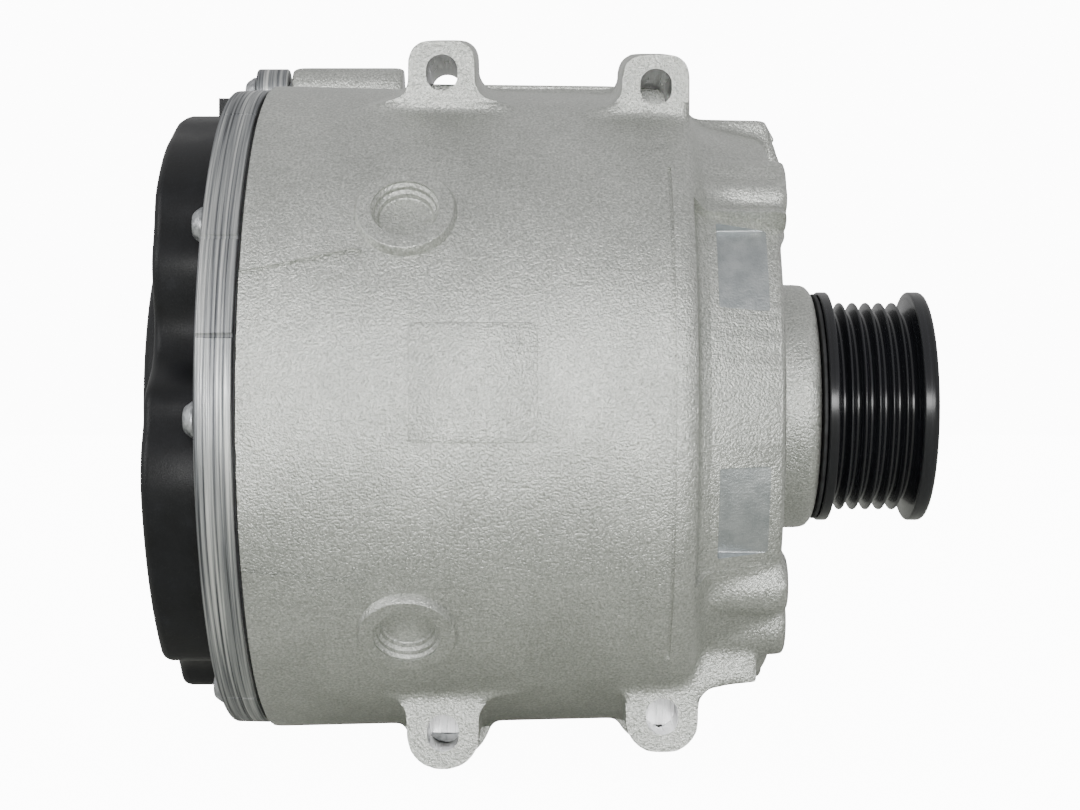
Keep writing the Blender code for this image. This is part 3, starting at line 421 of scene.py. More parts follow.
def choose(piece, test):
    """In edit mode, selects the vertices whose places pass the test."""
    bpy.ops.object.mode_set(mode="OBJECT")
    for part in (piece.data.polygons, piece.data.edges):
        part.foreach_set("select", [False] * len(part))
    for vertex in piece.data.vertices:
        vertex.select = test(vertex.co)
    bpy.ops.object.mode_set(mode="EDIT")


def drawn(name, points):
    """A line of edges through points, pulled out of one vertex, and left selected in edit mode."""
    points = [Vector(point) for point in points]
    bpy.ops.object.select_all(action="DESELECT")
    bpy.ops.mesh.primitive_plane_add(size=MM, location=points[0])
    piece = bpy.context.object
    piece.name = name
    bpy.ops.object.transform_apply()
    bpy.ops.object.mode_set(mode="EDIT")
    bpy.ops.mesh.merge(type="CENTER")
    for here, there in zip(points, points[1:]):
        bpy.ops.mesh.extrude_region_move(TRANSFORM_OT_translate={"value": there - here})
    bpy.ops.mesh.select_all(action="SELECT")
    bpy.ops.mesh.remove_doubles(threshold=0.001 * MM)
    return piece


def sealed(piece):
    """Merges what meets, turns every face outwards, and leaves edit mode."""
    bpy.ops.mesh.select_all(action="SELECT")
    bpy.ops.mesh.remove_doubles(threshold=0.001 * MM)
    bpy.ops.mesh.normals_make_consistent(inside=False)
    bpy.ops.object.mode_set(mode="OBJECT")
    return piece


def rounded(corners, steps=5):
    """Points through closed corners (u, v, radius), with an arc where a corner has a radius."""
    points = []
    for k, (u, v, radius) in enumerate(corners):
        here = Vector((u, v))
        if radius == 0.0:
            points.append(tuple(here))
            continue
        before = Vector(corners[k - 1][:2]) - here
        after = Vector(corners[(k + 1) % len(corners)][:2]) - here
        half = before.angle(after) / 2
        reach = min(radius / math.tan(half), before.length * 0.49, after.length * 0.49)
        radius = reach * math.tan(half)
        centre = here + (before.normalized() + after.normalized()).normalized() * radius / math.sin(half)
        start, end = here + before.normalized() * reach - centre, here + after.normalized() * reach - centre
        turn = math.atan2(start.cross(end), start.dot(end))
        for step in range(steps + 1):
            angle = turn * step / steps
            c, s = math.cos(angle), math.sin(angle)
            points.append((centre.x + start.x * c - start.y * s, centre.y + start.x * s + start.y * c))
    return points


def moved(piece, matrix):
    """Moves a piece's shape by a matrix, with its object left at the origin."""
    only(piece)
    piece.matrix_world = matrix
    bpy.ops.object.transform_apply()
    return piece


def spun(name, corners, steps=ROUND_STEPS, degrees=360.0, first=0.0, matrix=None):
    """A solid of revolution round X. The corners are (along, radius, rounding). An outline that starts
    and ends on the axis stays open there, or the turned solid would hold a loose edge."""
    profile = rounded(corners)
    tilt = Matrix.Rotation(math.radians(-first), 3, "X")
    points = [tilt @ Vector((along, -radius, 0.0)) for along, radius in profile]
    open_on_axis = max(profile[0][1], profile[-1][1]) < 0.001 * MM
    piece = drawn(name, points if open_on_axis else points + points[:1])
    if degrees < 360.0:
        bpy.ops.mesh.edge_face_add()
        bpy.ops.mesh.select_all(action="SELECT")
    bpy.ops.mesh.spin(steps=steps, angle=math.radians(degrees), center=(0, 0, 0), axis=(1, 0, 0))
    sealed(piece)
    return piece if matrix is None else moved(piece, matrix)


def pressed(name, outline, low, high, axis="Y"):
    """A flat outline made thick. It is drawn in (X, Z) and thick along Y, or drawn in (Y, Z) and thick
    along X."""
    lift, push = {
        "Y": (lambda u, v: (u, low, v), (0.0, high - low, 0.0)),
        "X": (lambda u, v: (low, u, v), (high - low, 0.0, 0.0)),
    }[axis]
    points = [lift(u, v) for u, v in outline]
    piece = drawn(name, points + points[:1])
    bpy.ops.mesh.edge_face_add()
    bpy.ops.mesh.extrude_region_move(TRANSFORM_OT_translate={"value": push})
    return sealed(piece)


def bar(name, start, end, radius, steps=48, edge=0.0):
    """A round bar between two points, with rounded ends."""
    start, end = Vector(start), Vector(end)
    length = (end - start).length
    corners = [(0.0, 0.0, 0.0), (0.0, radius, edge), (length, radius, edge), (length, 0.0, 0.0)]
    turn = (end - start).to_track_quat("X", "Z").to_matrix().to_4x4()
    return spun(name, corners, steps, matrix=Matrix.Translation(start) @ turn)


def block(name, low, high, edge=0.0):
    """A box whose upright corners are rounded."""
    corners = [(low[0], low[2], edge), (high[0], low[2], edge)]
    corners += [(high[0], high[2], edge), (low[0], high[2], edge)]
    return pressed(name, rounded(corners), low[1], high[1])


def joined(pieces, name):
    """Several meshes as one object."""
    bpy.ops.object.select_all(action="DESELECT")
    for piece in pieces:
        piece.select_set(True)
    bpy.context.view_layer.objects.active = pieces[0]
    bpy.ops.object.join()
    pieces[0].name = name
    return pieces[0]


def finished(piece, kind, **settings):
    """Adds a modifier and applies it."""
    only(piece)
    modifier = piece.modifiers.new("shape", kind)
    for name, value in settings.items():
        setattr(modifier, name, value)
    bpy.ops.object.modifier_apply(modifier="shape")
    return piece


def combined(piece, tool, operation):
    """Joins a tool to a piece or cuts it out, and removes the tool."""
    finished(piece, "BOOLEAN", object=tool, operation=operation, solver="EXACT", material_mode="TRANSFER")
    bpy.data.objects.remove(tool)
    return piece


def bevelled(piece, width, segments):
    """Rounds the sharp edges of a piece."""
    return finished(piece, "BEVEL", width=width, segments=segments, limit_method="ANGLE", angle_limit=1.0)


def mended(piece):
    """Merges points that cutting left almost in one place, and fills any hole that is left."""
    only(piece)
    bpy.ops.object.mode_set(mode="EDIT")
    bpy.ops.mesh.select_all(action="SELECT")
    bpy.ops.mesh.remove_doubles(threshold=0.02 * MM)
    bpy.ops.mesh.dissolve_degenerate(threshold=0.01 * MM)
    bpy.ops.mesh.fill_holes(sides=0)
    return sealed(piece)


def coat(piece, *materials):
    piece.data.materials.clear()
    for material in materials:
        piece.data.materials.append(material)
    return piece


def smooth(piece, degrees=32.0):
    only(piece)
    bpy.ops.object.shade_smooth_by_angle(angle=math.radians(degrees))
    return piece


def in_mm(corners):
    return [tuple(value * MM for value in corner) for corner in corners]


def around_axis(radius, degrees, x):
    """A point round the shaft axis. The angle runs from -Y towards +Z."""
    angle = math.radians(degrees)
    return Vector((x, -radius * math.cos(angle), radius * math.sin(angle)))


def shown(piece, body, slot, *nodes):
    """Puts a finished piece on its body, in place of the CAD nodes it stands for."""
    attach(piece, body)
    if nodes:
        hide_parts(*nodes)
    return piece


# ---------------------------------------------------------------- housing


def housing_outside():
    corners = [
        (BOSS_END_X, 0.0, 0.0),
        (BOSS_END_X, BOSS_R, 3 * MM),
        (NECK_END_X, BOSS_R, 2 * MM),
        (NECK_END_X, NECK_END_R + NECK_SPARE, 2.5 * MM),
        (NECK_START_X, NECK_START_R + NECK_SPARE, 3 * MM),
        (SHOULDER_X + 5 * MM, SHOULDER_R - 1.2 * MM, 1.5 * MM),
        (SHOULDER_X + 1.5 * MM, SHOULDER_R, 1 * MM),
        (DRUM_REAR_X - RIM_SPARE, DRUM_REAR_R, 0.0),
        (DRUM_REAR_X - RIM_SPARE, 0.0, 0.0),
    ]
    return spun("front_housing_fine", corners)


def upper_ear(x, z):
    """A block with round top corners. Its foot flares out to the drum, and its top slopes down and its
    foot sinks with the drum's side towards the front."""
    half, flare = EAR_HALF_WIDTH, 4.5 * MM
    top, foot = z + 7.9 * MM, 77.5 * MM if x < 0 else 76.0 * MM
    half_front = half - 0.3 * MM
    corners = [(x - half_front - 2 * flare, foot - 8 * MM, 0.0)]
    corners.append((x - half_front - 2 * flare, foot - 1.5 * MM, 0.0))
    corners += [(x - half_front, foot + 0.5 * MM, flare), (x - half_front, top, 5 * MM)]
    corners.append((x + half_front, top, 5 * MM))
    if x < 0:
        corners.append((x + half_front, foot + 0.5 * MM, flare))
        corners.append((x + half_front + 2 * flare, foot - 1.5 * MM, 0.0))
        corners.append((x + half_front + 2 * flare, foot - 8 * MM, 0.0))
    else:
        corners.append((x + half_front, foot - 16 * MM, 0.0))
    ear = pressed("upper_ear", rounded(corners), UPPER_FRONT_Y - EAR_SPARE, EAR_REAR_Y + 1 * MM)
    only(ear)
    for rise, test in (
        (6.3 * MM, lambda co: co.y > EAR_REAR_Y and co.z > foot + 6 * MM),
        (8.0 * MM, lambda co: co.y > EAR_REAR_Y and co.z <= foot + 6 * MM),
    ):
        choose(ear, test)
        bpy.ops.transform.translate(value=(0, 0, rise))
        bpy.ops.object.mode_set(mode="OBJECT")
    return ear


def lower_ear(x, z):
    """A lug with a full round end."""
    half, flare = EAR_HALF_WIDTH + 0.2 * MM, 5 * MM
    right = 4.5 * MM if x > 0 else 0.0
    foot = -73.0 * MM if x < 0 else -70.0 * MM
    corners = [(x - half - 2 * flare, foot + 10 * MM, 0.0), (x - half - 2 * flare, foot + 1 * MM, 0.0)]
    corners += [(x - half, foot - 1 * MM, flare), (x - half, z - half, half), (x + half, z - half, half)]
    corners += [(x + half, foot - 1 * MM, flare), (x + half + 2 * flare + right, foot + 1 * MM, 0.0)]
    corners += [(x + half + 2 * flare + right, foot + 10 * MM, 0.0)]
    ear = pressed("lower_ear", rounded(corners, 8), LOWER_FRONT_Y - EAR_SPARE, EAR_REAR_Y + 1 * MM)
    lug = bar("rear_lug", (x, FORK_GAP_Y[1] - 0.5 * MM, z), (x, EAR_REAR_Y + 1 * MM, z), REAR_LUG_R)
    return [ear, lug]


def casting_blank():
    """Everything that is cast in one with the drum, merged and softened as a casting's corners are."""
    blanks = [housing_outside()]
    for x, z in UPPER_EARS:
        blanks.append(upper_ear(x, z))
    for x, z in LOWER_EARS:
        blanks += lower_ear(x, z)

    # The web that ties the upper ears together and runs on over the neck, a little proud of the drum.
    web = [(-43, 70, 0), (-43, 78.6, 0), (-35, 84.9, 3), (18, 84.4, 0), (38.4, 83.0, 0), (39.0, 76.5, 4)]
    web += [(60.0, 76.0, 1.5), (64.4, 63, 2), (60.6, 40, 0)]
    blanks.append(pressed("flange_web", rounded(in_mm(web)), -12.2 * MM, EAR_REAR_Y + 1 * MM))

    # Lobes and ribs along the neck, and the foot under it.
    for degrees, out, radius, end_x in (
        (52.0, 66.0, 9.8, 61.4), (45.4, 71.8, 4.6, 61.0), (37.6, 72.6, 4.2, 60.2),
        (-39.0, 69.0, 7.6, 60.6), (-53.5, 66.8, 9.0, 61.4),
    ):  # fmt: skip
        start = around_axis(out * MM, degrees, SHOULDER_X - 2 * MM)
        end = around_axis(out * MM, degrees, end_x * MM)
        blanks.append(bar("lobe", start, end, radius * MM, 40, 1.5 * MM))
    foot_start, foot_end = (36 * MM, 8 * MM, -66 * MM), (60.6 * MM, 8 * MM, -66 * MM)
    blanks.append(bar("neck_foot", foot_start, foot_end, 8.8 * MM, 40, 1.5 * MM))

    # The long boss for the bracket's bolt, and the pad for the coolant spigots.
    boss_end = -38 * MM
    start, end = (DRUM_REAR_X, LUG_Y, LUG_Z), (boss_end, LUG_Y, LUG_Z)
    blanks.append(bar("bolt_boss", start, end, 7.4 * MM, 40, 1.5 * MM))
    root = [(LUG_Y - 9 * MM, 70 * MM, 0), (LUG_Y - 7.3 * MM, LUG_Z, 0), (LUG_Y + 7.3 * MM, LUG_Z, 0)]
    root += [(LUG_Y + 9 * MM, 70 * MM, 0)]
    blanks.append(pressed("boss_root", rounded(root), DRUM_REAR_X, boss_end - 1 * MM, "X"))
    pad_low = (PORT_PAD_X[0], 50 * MM, -PORT_Z - 18 * MM)
    blanks.append(block("port_pad", pad_low, (PORT_PAD_X[1], PORT_PAD_Y, PORT_Z + 18 * MM), 8 * MM))

    casting = joined(blanks, "front_housing_fine")
    finished(casting, "REMESH", mode="VOXEL", voxel_size=CASTING_GRID, adaptivity=0.0)
    return finished(casting, "SMOOTH", factor=0.5, iterations=5)


def skin(name, outline, proud, depth):
    """A patch of the drum's side, seen from the front, as a shell from depth under the drum's surface to
    proud above it."""
    patch = pressed(name, outline, -100 * MM, -40 * MM)
    slope = (SHOULDER_R - DRUM_REAR_R) / (SHOULDER_X - DRUM_REAR_X)
    ends = [(x, DRUM_REAR_R + slope * (x - DRUM_REAR_X)) for x in (-75 * MM, 40 * MM)]
    outer = [(ends[0][0], 0, 0), *[(x, r + proud, 0) for x, r in ends], (ends[1][0], 0, 0)]
    inner = [(ends[0][0] - 1 * MM, 0, 0), *[(x, r - depth, 0) for x, r in ends], (ends[1][0] + 1 * MM, 0, 0)]
    combined(patch, spun("outer_cone", outer, 240), "INTERSECT")
    return combined(patch, spun("inner_cone", inner, 240), "DIFFERENCE")


def shallow_recesses():
    """The sunken field on the drum, with its slanted edges; the fine groove at the shoulder; and the
    neck's two shallow pockets, whose floors lie along the shaft."""
    field = rounded(in_mm([(-75, 30.6, 0), (-41.5, 37.6, 2), (-40.4, -42, 2), (-75, -38.6, 0)]))
    sunken = skin("sunken_field", field, 3 * MM, 0.9 * MM)
    cutters = [bevelled(sunken, 0.5 * MM, 2)]
    trim = in_mm([(35.8, 90, 0), (37.6, 76.9, 2.2), (40.5, 75.5, 1)])
    trim += in_mm([(58.2, 71.35, 2), (60.5, 69.0, 0), (62, 90, 0)])
    cutters.append(spun("neck_trim", trim, 80, 70.0, -32.0))
    floor_r, outside_r = SHOULDER_R / MM - 0.7, SHOULDER_R / MM + 3
    groove = in_mm([(30.9, floor_r, 0), (30.9, outside_r, 0), (31.8, outside_r, 0), (31.8, floor_r, 0)])
    cutters.append(spun("shoulder_groove", groove, 120, 92.0, -48.0))
    for low, high in ((18.3, 36.3), (-29.3, -11.4)):
        recess = in_mm([(42.6, 72.1, 0.5), (42.6, 80, 0), (56, 80, 0), (56, 72.1, 0)])
        pocket = spun("neck_pocket", recess, 30, high - low, low)
        cutters.append(bevelled(pocket, 0.6 * MM, 3))
    return cutters


def pocket_place(degrees):
    inward = (-around_axis(1.0, degrees, 0.0)).to_track_quat("X", "Z").to_matrix().to_4x4()
    return Matrix.Translation(around_axis(92 * MM, degrees, -32 * MM)) @ inward


def raised_places():
    """The drum's rectangular pad, and the flat seats round its two pockets."""
    pad = rounded(in_mm([(-30.4, 19.5, 1), (-0.5, 19.5, 1), (-0.5, -8.5, 1), (-30.4, -8.5, 1)]))
    patch = skin("raised_pad", pad, 0.8 * MM, 2 * MM)
    bosses = [bevelled(patch, 0.4 * MM, 2)]
    rim = in_mm([(-38, 80, 0), (-35.2, 85.9, 2), (18, 85.3, 0), (37, 84.3, 3), (38.9, 76.0, 4.5)])
    rim += in_mm([(59.8, 75.8, 1), (62.6, 70.6, 1), (60.0, 69.0, 0), (30, 72, 0)])
    web = pressed("flange_rim", rounded(rim), -10.8 * MM, EAR_REAR_Y + 1 * MM)
    bosses.append(bevelled(web, 0.5 * MM, 3))
    for degrees in POCKET_ANGLES:
        seat = in_mm([(5.7, 0, 0), (5.7, 11.6, 0.4), (7.6, 12.6, 0), (12, 12.6, 0), (12, 0, 0)])
        bosses.append(spun("pocket_seat", seat, 72, matrix=pocket_place(degrees)))
    return joined(bosses, "raised_places")


def stepped_pockets():
    corners = [(0, 0, 0), (0, 8.2, 0), (6.4, 8.2, 0), (7.1, 7.5, 0.2), (8.2, 7.5, 0.2), (8.8, 6.7, 0.2)]
    corners += [(10.2, 6.5, 0.5), (10.2, 0, 0)]
    return [spun("pocket", in_mm(corners), 72, matrix=pocket_place(degrees)) for degrees in POCKET_ANGLES]


def hollow():
    """The bore for the sleeve and the bearing, cut on a lathe."""
    bore = [(BOSS_END_X + 2 * MM, 0, 0), (BOSS_END_X + 2 * MM, SEAL_OPENING_R, 0)]
    bore += [(BEARING_SEAT_END_X, SEAL_OPENING_R, 0), (BEARING_SEAT_END_X, BEARING_SEAT_R, 0)]
    bore += [(FRONT_WALL_X, BEARING_SEAT_R, 0), (FRONT_WALL_X, NECK_BORE_R - 4 * MM, 0)]
    bore += [(FRONT_WALL_X - 4 * MM, NECK_BORE_R, 0), (SLEEVE_STOP_X, NECK_BORE_R, 0)]
    bore.append((SLEEVE_STOP_X, DRUM_BORE_R, 0))
    for low, high in reversed(CHANNELS_X):
        bore += [(high, DRUM_BORE_R, 0), (high - 3 * MM, CHANNEL_R, 0), (low + 3 * MM, CHANNEL_R, 0)]
        bore += [(low, DRUM_BORE_R, 0)]
    bore += [(DRUM_REAR_X + 0.6 * MM, DRUM_BORE_R, 0), (DRUM_REAR_X - 2 * MM, DRUM_BORE_R + 2.6 * MM, 0)]
    bore += [(DRUM_REAR_X - 2 * MM, 0, 0)]
    return coat(spun("bore", bore), FINISHES["machined_aluminium"])


def ear_faces():
    """The ears' milled rear faces, the cut that lets their bolts pass, and the gaps in the lower ears."""
    cutters = []
    for upper, ears in ((True, UPPER_EARS), (False, LOWER_EARS)):
        side = 1.0 if upper else -1.0
        for x, z in ears:
            step_x, end_x = (-38.5 * MM, -10.5 * MM) if x < 0 else (24.8 * MM, 43.5 * MM)
            shallow, deep, beyond = side * FACING_DEPTH_Z, z - side * 5.4 * MM, side * 110 * MM
            outline = [(step_x, shallow), (step_x, deep), (end_x, deep), (end_x, beyond)]
            start_x = min(x - 14 * MM, step_x)
            outline += [(start_x, beyond), (start_x, shallow)] if start_x < step_x else [(start_x, beyond)]
            facing = pressed("ear_facing", outline, EAR_REAR_Y, 60 * MM)
            cutters.append(coat(facing, FINISHES["machined_aluminium"]))
            front_y, drum_z = (UPPER_FRONT_Y, 76.6 * MM) if upper else (LOWER_FRONT_Y, -74.4 * MM)
            low, high = sorted((drum_z, side * 110 * MM))
            face = block("ear_front", (x - 14 * MM, -60 * MM, low), (x + 14 * MM, front_y, high))
            cutters.append(coat(face, FINISHES["cast_aluminium"]))
    for x, z in LOWER_EARS:
        gap_top = -math.sqrt(DRUM_REAR_R**2 - FORK_GAP_Y[1] ** 2) + (0 if x < 0 else 2 * MM)
        low = (x - 16 * MM, FORK_GAP_Y[0], z - 16 * MM)
        gap = block("fork_gap", low, (x + 16 * MM, FORK_GAP_Y[1], gap_top), 2 * MM)
        cutters.append(coat(gap, FINISHES["cast_aluminium"]))
    return cutters


def drilled_holes():
    """The ears' bolt holes, which are slightly tall, and the seats of the bushings and the spigots."""
    cutters = []
    for x, z in (*UPPER_EARS, *LOWER_EARS):
        reach_y = -50 * MM
        tall = [(x - BOLT_R + 0.6 * MM, z - BOLT_R, 4 * MM), (x + BOLT_R - 0.6 * MM, z - BOLT_R, 4 * MM)]
        tall += [(x + BOLT_R - 0.6 * MM, z + BOLT_R, 4 * MM), (x - BOLT_R + 0.6 * MM, z + BOLT_R, 4 * MM)]
        end_y = FORK_GAP_Y[0] + 3 * MM if z < 0 else 2 * MM
        cutters.append(pressed("bolt_hole", rounded(tall, 10), reach_y, end_y))
    for x, z in LOWER_EARS:
        cutters.append(bar("bushing_seat", (x, FORK_GAP_Y[1] - 2 * MM, z), (x, 2 * MM, z), 6.9 * MM))
    for z in (-PORT_Z, PORT_Z):
        cutters.append(bar("port", (PORT_X, 60 * MM, z), (PORT_X, 95 * MM, z), PORT_R + 0.3 * MM))
    for degrees in SCREW_ANGLES:
        start, end = (around_axis(SCREW_CIRCLE_R, degrees, DRUM_REAR_X + k * MM) for k in (-1, 9))
        cutters.append(bar("bracket_thread", start, end, 2.7 * MM, 24))
    start, end = (DRUM_REAR_X - 3 * MM, LUG_Y, LUG_Z), (-46 * MM, LUG_Y, LUG_Z)
    cutters.append(bar("lug_thread", start, end, LUG_HOLE_R, 24))
    for cutter in cutters:
        coat(cutter, FINISHES["machined_aluminium"])
    return joined(cutters, "holes")


def housing():
    casting = coat(casting_blank(), FINISHES["cast_aluminium"], FINISHES["machined_aluminium"])
    for cutter in (*ear_faces(), drilled_holes()):
        combined(casting, cutter, "DIFFERENCE")
    for recess in shallow_recesses():
        # The neck pockets' floors take the darker finish: painted shade in the recesses.
        finish = POCKET_SHADE if recess.name.startswith("neck_pocket") else FINISHES["cast_aluminium"]
        combined(casting, coat(recess, finish), "DIFFERENCE")
    combined(casting, coat(raised_places(), FINISHES["cast_aluminium"]), "UNION")
    combined(casting, coat(joined(stepped_pockets(), "pockets"), FINISHES["cast_aluminium"]), "DIFFERENCE")
    combined(casting, hollow(), "DIFFERENCE")
    smooth(mended(casting), 38.0)
    shown(casting, "root", "cast_aluminium", "front_housing")


# ---------------------------------------------------------------- rear bracket, cover and screws


def bracket():
    """The ring and its spoked web, with fine joint lines across the rim and the lug for the long bolt."""
    low, high = BRACKET_X[0], BRACKET_X[1] + RIM_SPARE
    seat_r, bearing_end = 17.8 * MM, -70.6 * MM
    corners = [(bearing_end + 1.5 * MM, seat_r - 3.5 * MM, 0), (bearing_end + 1.5 * MM, seat_r + 4 * MM, 0)]
    corners += [(low + 4 * MM, seat_r + 4 * MM, 0), (low + 4 * MM, 67 * MM, 0), (high, 67 * MM, 0)]
    corners += [(high, BRACKET_R, 0.6 * MM), (low, BRACKET_R - 0.2 * MM, 0.9 * MM), (low, seat_r + 4 * MM, 0)]
    corners += [(-82.2 * MM, seat_r + 4 * MM, 0), (-82.2 * MM, seat_r, 0), (bearing_end, seat_r, 0)]
    corners += [(bearing_end, seat_r - 3.5 * MM, 0)]
    ring = spun("rear_bracket_fine", corners)
    combined(ring, bar("lug", (low, LUG_Y, LUG_Z), (high, LUG_Y, LUG_Z), 7 * MM, 48, 0.8 * MM), "UNION")
    root = [(LUG_Y - 8 * MM, 74 * MM), (LUG_Y - 6.8 * MM, LUG_Z - 1 * MM), (LUG_Y + 6.8 * MM, LUG_Z - 1 * MM)]
    root += [(LUG_Y + 8 * MM, 74 * MM)]
    combined(ring, pressed("lug_root", root, low + 0.4 * MM, high - 0.4 * MM, "X"), "UNION")
    start, end = (low - 2 * MM, LUG_Y, LUG_Z), (high + 2 * MM, LUG_Y, LUG_Z)
    combined(ring, bar("lug_hole", start, end, LUG_HOLE_R, 24), "DIFFERENCE")
    for k in range(6):
        inner, outer = 32 * MM, 60 * MM
        window = []
        for radius, start, end in ((outer, 60 * k, 60 * k + 36), (inner, 60 * k + 36, 60 * k)):
            for step in range(9):
                angle = math.radians(start + (end - start) * step / 8)
                window.append((radius * math.cos(angle), radius * math.sin(angle)))
        combined(ring, pressed("window", window, low - 1 * MM, low + 6 * MM, "X"), "DIFFERENCE")
    for degrees in SCREW_ANGLES:
        start = around_axis(SCREW_CIRCLE_R, degrees, low - 1 * MM)
        end = around_axis(SCREW_CIRCLE_R, degrees, high + 1 * MM)
        combined(ring, bar("screw_hole", start, end, 2.7 * MM, 24), "DIFFERENCE")
    for degrees, width in (
        (28.2, 0.8), (11.2, 0.7), (-85.0, 0.8), (-60.0, 0.5), (60.0, 0.6), (100.0, 0.7), (150.0, 0.7),
    ):  # fmt: skip
        start = around_axis(BRACKET_R + 0.1 * MM, degrees, low - 1 * MM)
        end = around_axis(BRACKET_R + 0.1 * MM, degrees, high + 1 * MM)
        combined(ring, bar("joint_line", start, end, width * MM, 8), "DIFFERENCE")
    smooth(coat(ring, STREAKED), 30.0)
    shown(ring, "root", "machined_aluminium", "rear_bracket")


def corner_radius(degrees):
    """The cover's outline, straight between its corner points."""
    degrees = (degrees + 180.0) % 360.0 - 180.0
    for (first, first_r), (second, second_r) in zip(COVER_OUTLINE, COVER_OUTLINE[1:]):
        if first <= degrees <= second:
            share = (degrees - first) / (second - first)
            return (first_r + (second_r - first_r) * share) * MM
    raise ValueError(degrees)


def cover_radius(degrees):
    """The outline with its corners rounded, by taking the mean over 5 degrees."""
    return sum(corner_radius(degrees + step / 2) for step in range(-5, 6)) / 11


def cover():
    """The moulded cover: a fluted wall, a face with a rounded edge, and a raised round middle."""
    sides = 240
    outline = []
    for k in range(sides):
        point = around_axis(cover_radius(k * 360 / sides), k * 360 / sides, 0.0)
        outline.append((point.y, point.z))
    shell = drawn("rear_cover_fine", [(COVER_RIM_X, y, z) for y, z in (*outline, outline[0])])
    bpy.ops.mesh.edge_face_add()
    bpy.ops.mesh.extrude_region_move(TRANSFORM_OT_translate={"value": (-COVER_WALL, 0, 0)})
    for inward, outward in ((0.25, 0.9), (0.5, 0.75), (0.75, 0.5), (0.9, 0.25)):
        bpy.ops.mesh.inset(thickness=inward * MM, depth=-outward * MM, use_boundary=True)
    sealed(shell)
    middle = [(COVER_FACE_X + 2 * MM, 0, 0), (COVER_FACE_X + 2 * MM, 52 * MM, 0)]
    middle += [(COVER_FACE_X - 0.6 * MM, 51.4 * MM, 2 * MM), (COVER_TOP_X, 48.6 * MM, 3.5 * MM)]
    middle += [(COVER_TOP_X, 24 * MM, 0.8 * MM), (COVER_TOP_X + 0.8 * MM, 23 * MM, 0.8 * MM)]
    middle += [(COVER_TOP_X + 0.8 * MM, 0, 0)]
    combined(shell, spun("raised_middle", middle), "UNION")
    hollow_corners = [(COVER_RIM_X + 1 * MM, 0, 0), (COVER_RIM_X + 1 * MM, 58 * MM, 0)]
    hollow_corners += [(-92 * MM, 58 * MM, 4 * MM), (-92 * MM, 46.6 * MM, 0)]
    hollow_corners += [(-96.8 * MM, 45 * MM, 3 * MM), (-96.8 * MM, 0, 0)]
    combined(shell, spun("cover_hollow", hollow_corners, 96), "DIFFERENCE")
    smooth(coat(shell, FINISHES["black_plastic"]), 30.0)
    shown(shell, "root", "black_plastic", "rear_cover")


def screw(name, seat, shank, head, towards=(-1, 0, 0)):
    """A screw with a domed flange head."""
    (shank_r, shank_length), (head_r, head_height) = shank, head
    corners = [(-shank_length, 0, 0), (-shank_length, shank_r, 0.5 * MM), (0, shank_r, 0)]
    corners += [(0, head_r, 0.3 * MM), (0.25 * head_height, head_r, 0.5 * MM)]
    corners += [(head_height, head_r * 0.66, head_height * 0.6), (head_height, 0, 0)]
    turn = Vector(towards).to_track_quat("X", "Z").to_matrix().to_4x4()
    piece = spun(name, corners, 40, matrix=Matrix.Translation(seat) @ turn)
    return smooth(coat(piece, FINISHES["zinc_steel"]), 35.0)


def screws():
    for k, degrees in enumerate(SCREW_ANGLES):
        seat = around_axis(SCREW_CIRCLE_R, degrees, BRACKET_X[0] - 0.3 * MM)
        piece = screw(f"bracket_screw_{k + 1}_fine", seat, (2.4 * MM, 16 * MM), (4.4 * MM, 2.8 * MM))
        shown(piece, "root", "zinc_steel", f"bracket_screw_{k + 1}")
    seat = (BRACKET_X[0] - 0.3 * MM, LUG_Y, LUG_Z)
    piece = screw("lug_bolt_fine", seat, (3 * MM, 32 * MM), (4.6 * MM, 3.2 * MM))
    shown(piece, "root", "zinc_steel", "lug_bolt")


# ---------------------------------------------------------------- pulley


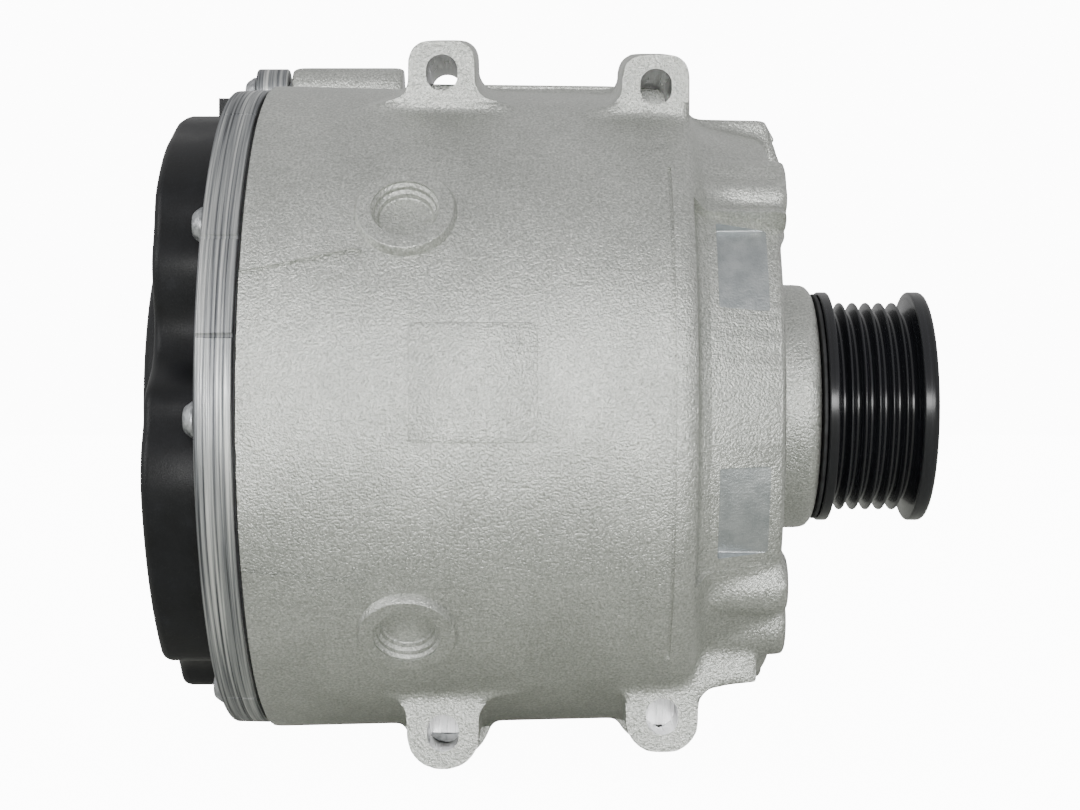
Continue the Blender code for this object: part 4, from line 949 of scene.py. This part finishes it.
def pulley():
    low, high = PULLEY_X
    corners = [(high, PULLEY_BORE_R + 1.8 * MM, 0.3 * MM), (high, FLANGE_R, 1.4 * MM)]
    corners.append((98.9 * MM, FLANGE_R, 0.6 * MM))
    for k in reversed(range(GROOVES)):
        middle = FIRST_GROOVE_X + k * GROOVE_PITCH
        if k == GROOVES - 1:
            corners.append((middle + 1.5 * MM, CREST_R - 1.2 * MM, 0))
        else:
            corners.append((middle + 1.5 * MM, CREST_R, 0.45 * MM))
        corners += [(middle + 0.35 * MM, GROOVE_R, 0.3 * MM), (middle - 0.35 * MM, GROOVE_R, 0.3 * MM)]
        crest = (middle - 1.5 * MM, CREST_R, 0.45 * MM)
        corners.append(crest if k else (middle - 1.2 * MM, CREST_R - 1.2 * MM, 0))
    corners += [(77.2 * MM, FLANGE_R, 0.5 * MM), (low, FLANGE_R, 0.5 * MM), (low, PULLEY_BORE_R, 0)]
    corners += [(100.3 * MM, PULLEY_BORE_R, 0), (100.3 * MM, PULLEY_BORE_R + 1.8 * MM, 0)]
    rim = smooth(coat(spun("pulley_rim_fine", corners), FINISHES["black_steel"]), 40.0)
    shown(rim, "pulley", "black_steel", "pulley_rim")

    seal_x, seal_r = (73.2 * MM, 74.2 * MM), (13.6 * MM, 30.4 * MM)
    corners = [(seal_x[0], seal_r[0], 0), (seal_x[0], seal_r[1], 0.3 * MM), (seal_x[1], seal_r[1], 0.3 * MM)]
    corners += [(seal_x[1], seal_r[0], 0)]
    seal = smooth(coat(spun("pulley_seal_fine", corners), FINISHES["black_rubber"]))
    shown(seal, "pulley", "black_rubber", "pulley_seal")

    cap_r, back_x = 21.4 * MM, 100.6 * MM
    corners = [(back_x, 0, 0), (back_x, cap_r, 0.2 * MM), (101.8 * MM, cap_r, 0.4 * MM)]
    corners += [(102.8 * MM, 18.8 * MM, 2 * MM), (105.2 * MM, 13 * MM, 6 * MM)]
    corners += [(106.0 * MM, 6 * MM, 4 * MM), (106.0 * MM, 0, 0)]
    cap = smooth(coat(spun("dust_cap_fine", corners, 96), FINISHES["black_plastic"]), 40.0)
    shown(cap, "pulley", "black_plastic", "dust_cap")


# ---------------------------------------------------------------- the CAD nodes that show as they are


def coat_cad_nodes():
    for row in frame["record"]["subparts"]:
        coat(frame["nodes"][row["node"]], FINISHES[row["material_slot"]])


# ---------------------------------------------------------------- studio


def lamp(name, place, size, power):
    """A large soft light, turned to the object."""
    bpy.ops.object.light_add(type="AREA", location=place)
    light = bpy.context.object
    light.name = name
    light.data.shape = "RECTANGLE"
    light.data.size, light.data.size_y = size
    light.data.energy = power
    light.rotation_euler = (-Vector(place)).to_track_quat("-Z", "Y").to_euler()


def studio():
    """A pale floor in white surroundings, and soft lights over and beside the camera."""
    floor_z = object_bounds()[0].z - 0.5 * MM
    bpy.ops.mesh.primitive_plane_add(size=12.0, location=(0, 0, floor_z))
    floor = bpy.context.object
    floor.name = "floor"
    paint, tree, shader = finish_named("white_paper", 0.0, 0.9)
    shader.inputs["Base Color"].default_value = linear("D8DAD2")
    shader.inputs["Emission Color"].default_value = linear("FFFFFF")
    seen = node(tree, "ShaderNodeLightPath").outputs["Is Camera Ray"]
    tree.links.new(calculated(tree, "MULTIPLY", seen, WHITE_GLOW), shader.inputs["Emission Strength"])
    coat(floor, paint)
    floor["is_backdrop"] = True

    world = bpy.data.worlds.new("studio")
    bpy.context.scene.world = world
    world.use_nodes = True
    tree = world.node_tree
    soft = tree.nodes["Background"]
    direction = node(tree, "ShaderNodeTexCoord").outputs["Generated"]
    upwards = node(tree, "ShaderNodeSeparateXYZ", {}, {"Vector": direction})
    height = {"From Min": -1.0, "From Max": 1.0, "To Min": 0.58, "To Max": 0.7}
    glow = node(tree, "ShaderNodeMapRange", {}, {"Value": upwards.outputs["Z"], **height}).outputs["Result"]
    tree.links.new(glow, soft.inputs["Strength"])
    soft.inputs["Color"].default_value = linear("FFFFFF")
    white = node(tree, "ShaderNodeBackground", {}, {"Color": linear("FFFFFF"), "Strength": WHITE_GLOW})
    seen = node(tree, "ShaderNodeLightPath").outputs["Is Camera Ray"]
    mix = node(tree, "ShaderNodeMixShader", {}, {"Fac": seen, 1: soft.outputs[0], 2: white.outputs[0]})
    tree.links.new(mix.outputs[0], tree.nodes["World Output"].inputs["Surface"])

    lamp("key", (0.1, -1.8, 0.15), (1.2, 0.35), 23.0)
    lamp("side", (-1.4, -0.7, 0.5), (0.5, 0.9), 7.0)

    bpy.ops.object.camera_add(location=(0.0, -0.570, 0.0003), rotation=(math.radians(90), 0, 0))
    camera = bpy.context.object
    camera.data.lens = 70.0
    camera.data.sensor_width = 36.0
    camera.data.clip_start = 0.01
    bpy.context.scene.camera = camera


coat_cad_nodes()
housing()
bracket()
cover()
screws()
pulley()
studio()
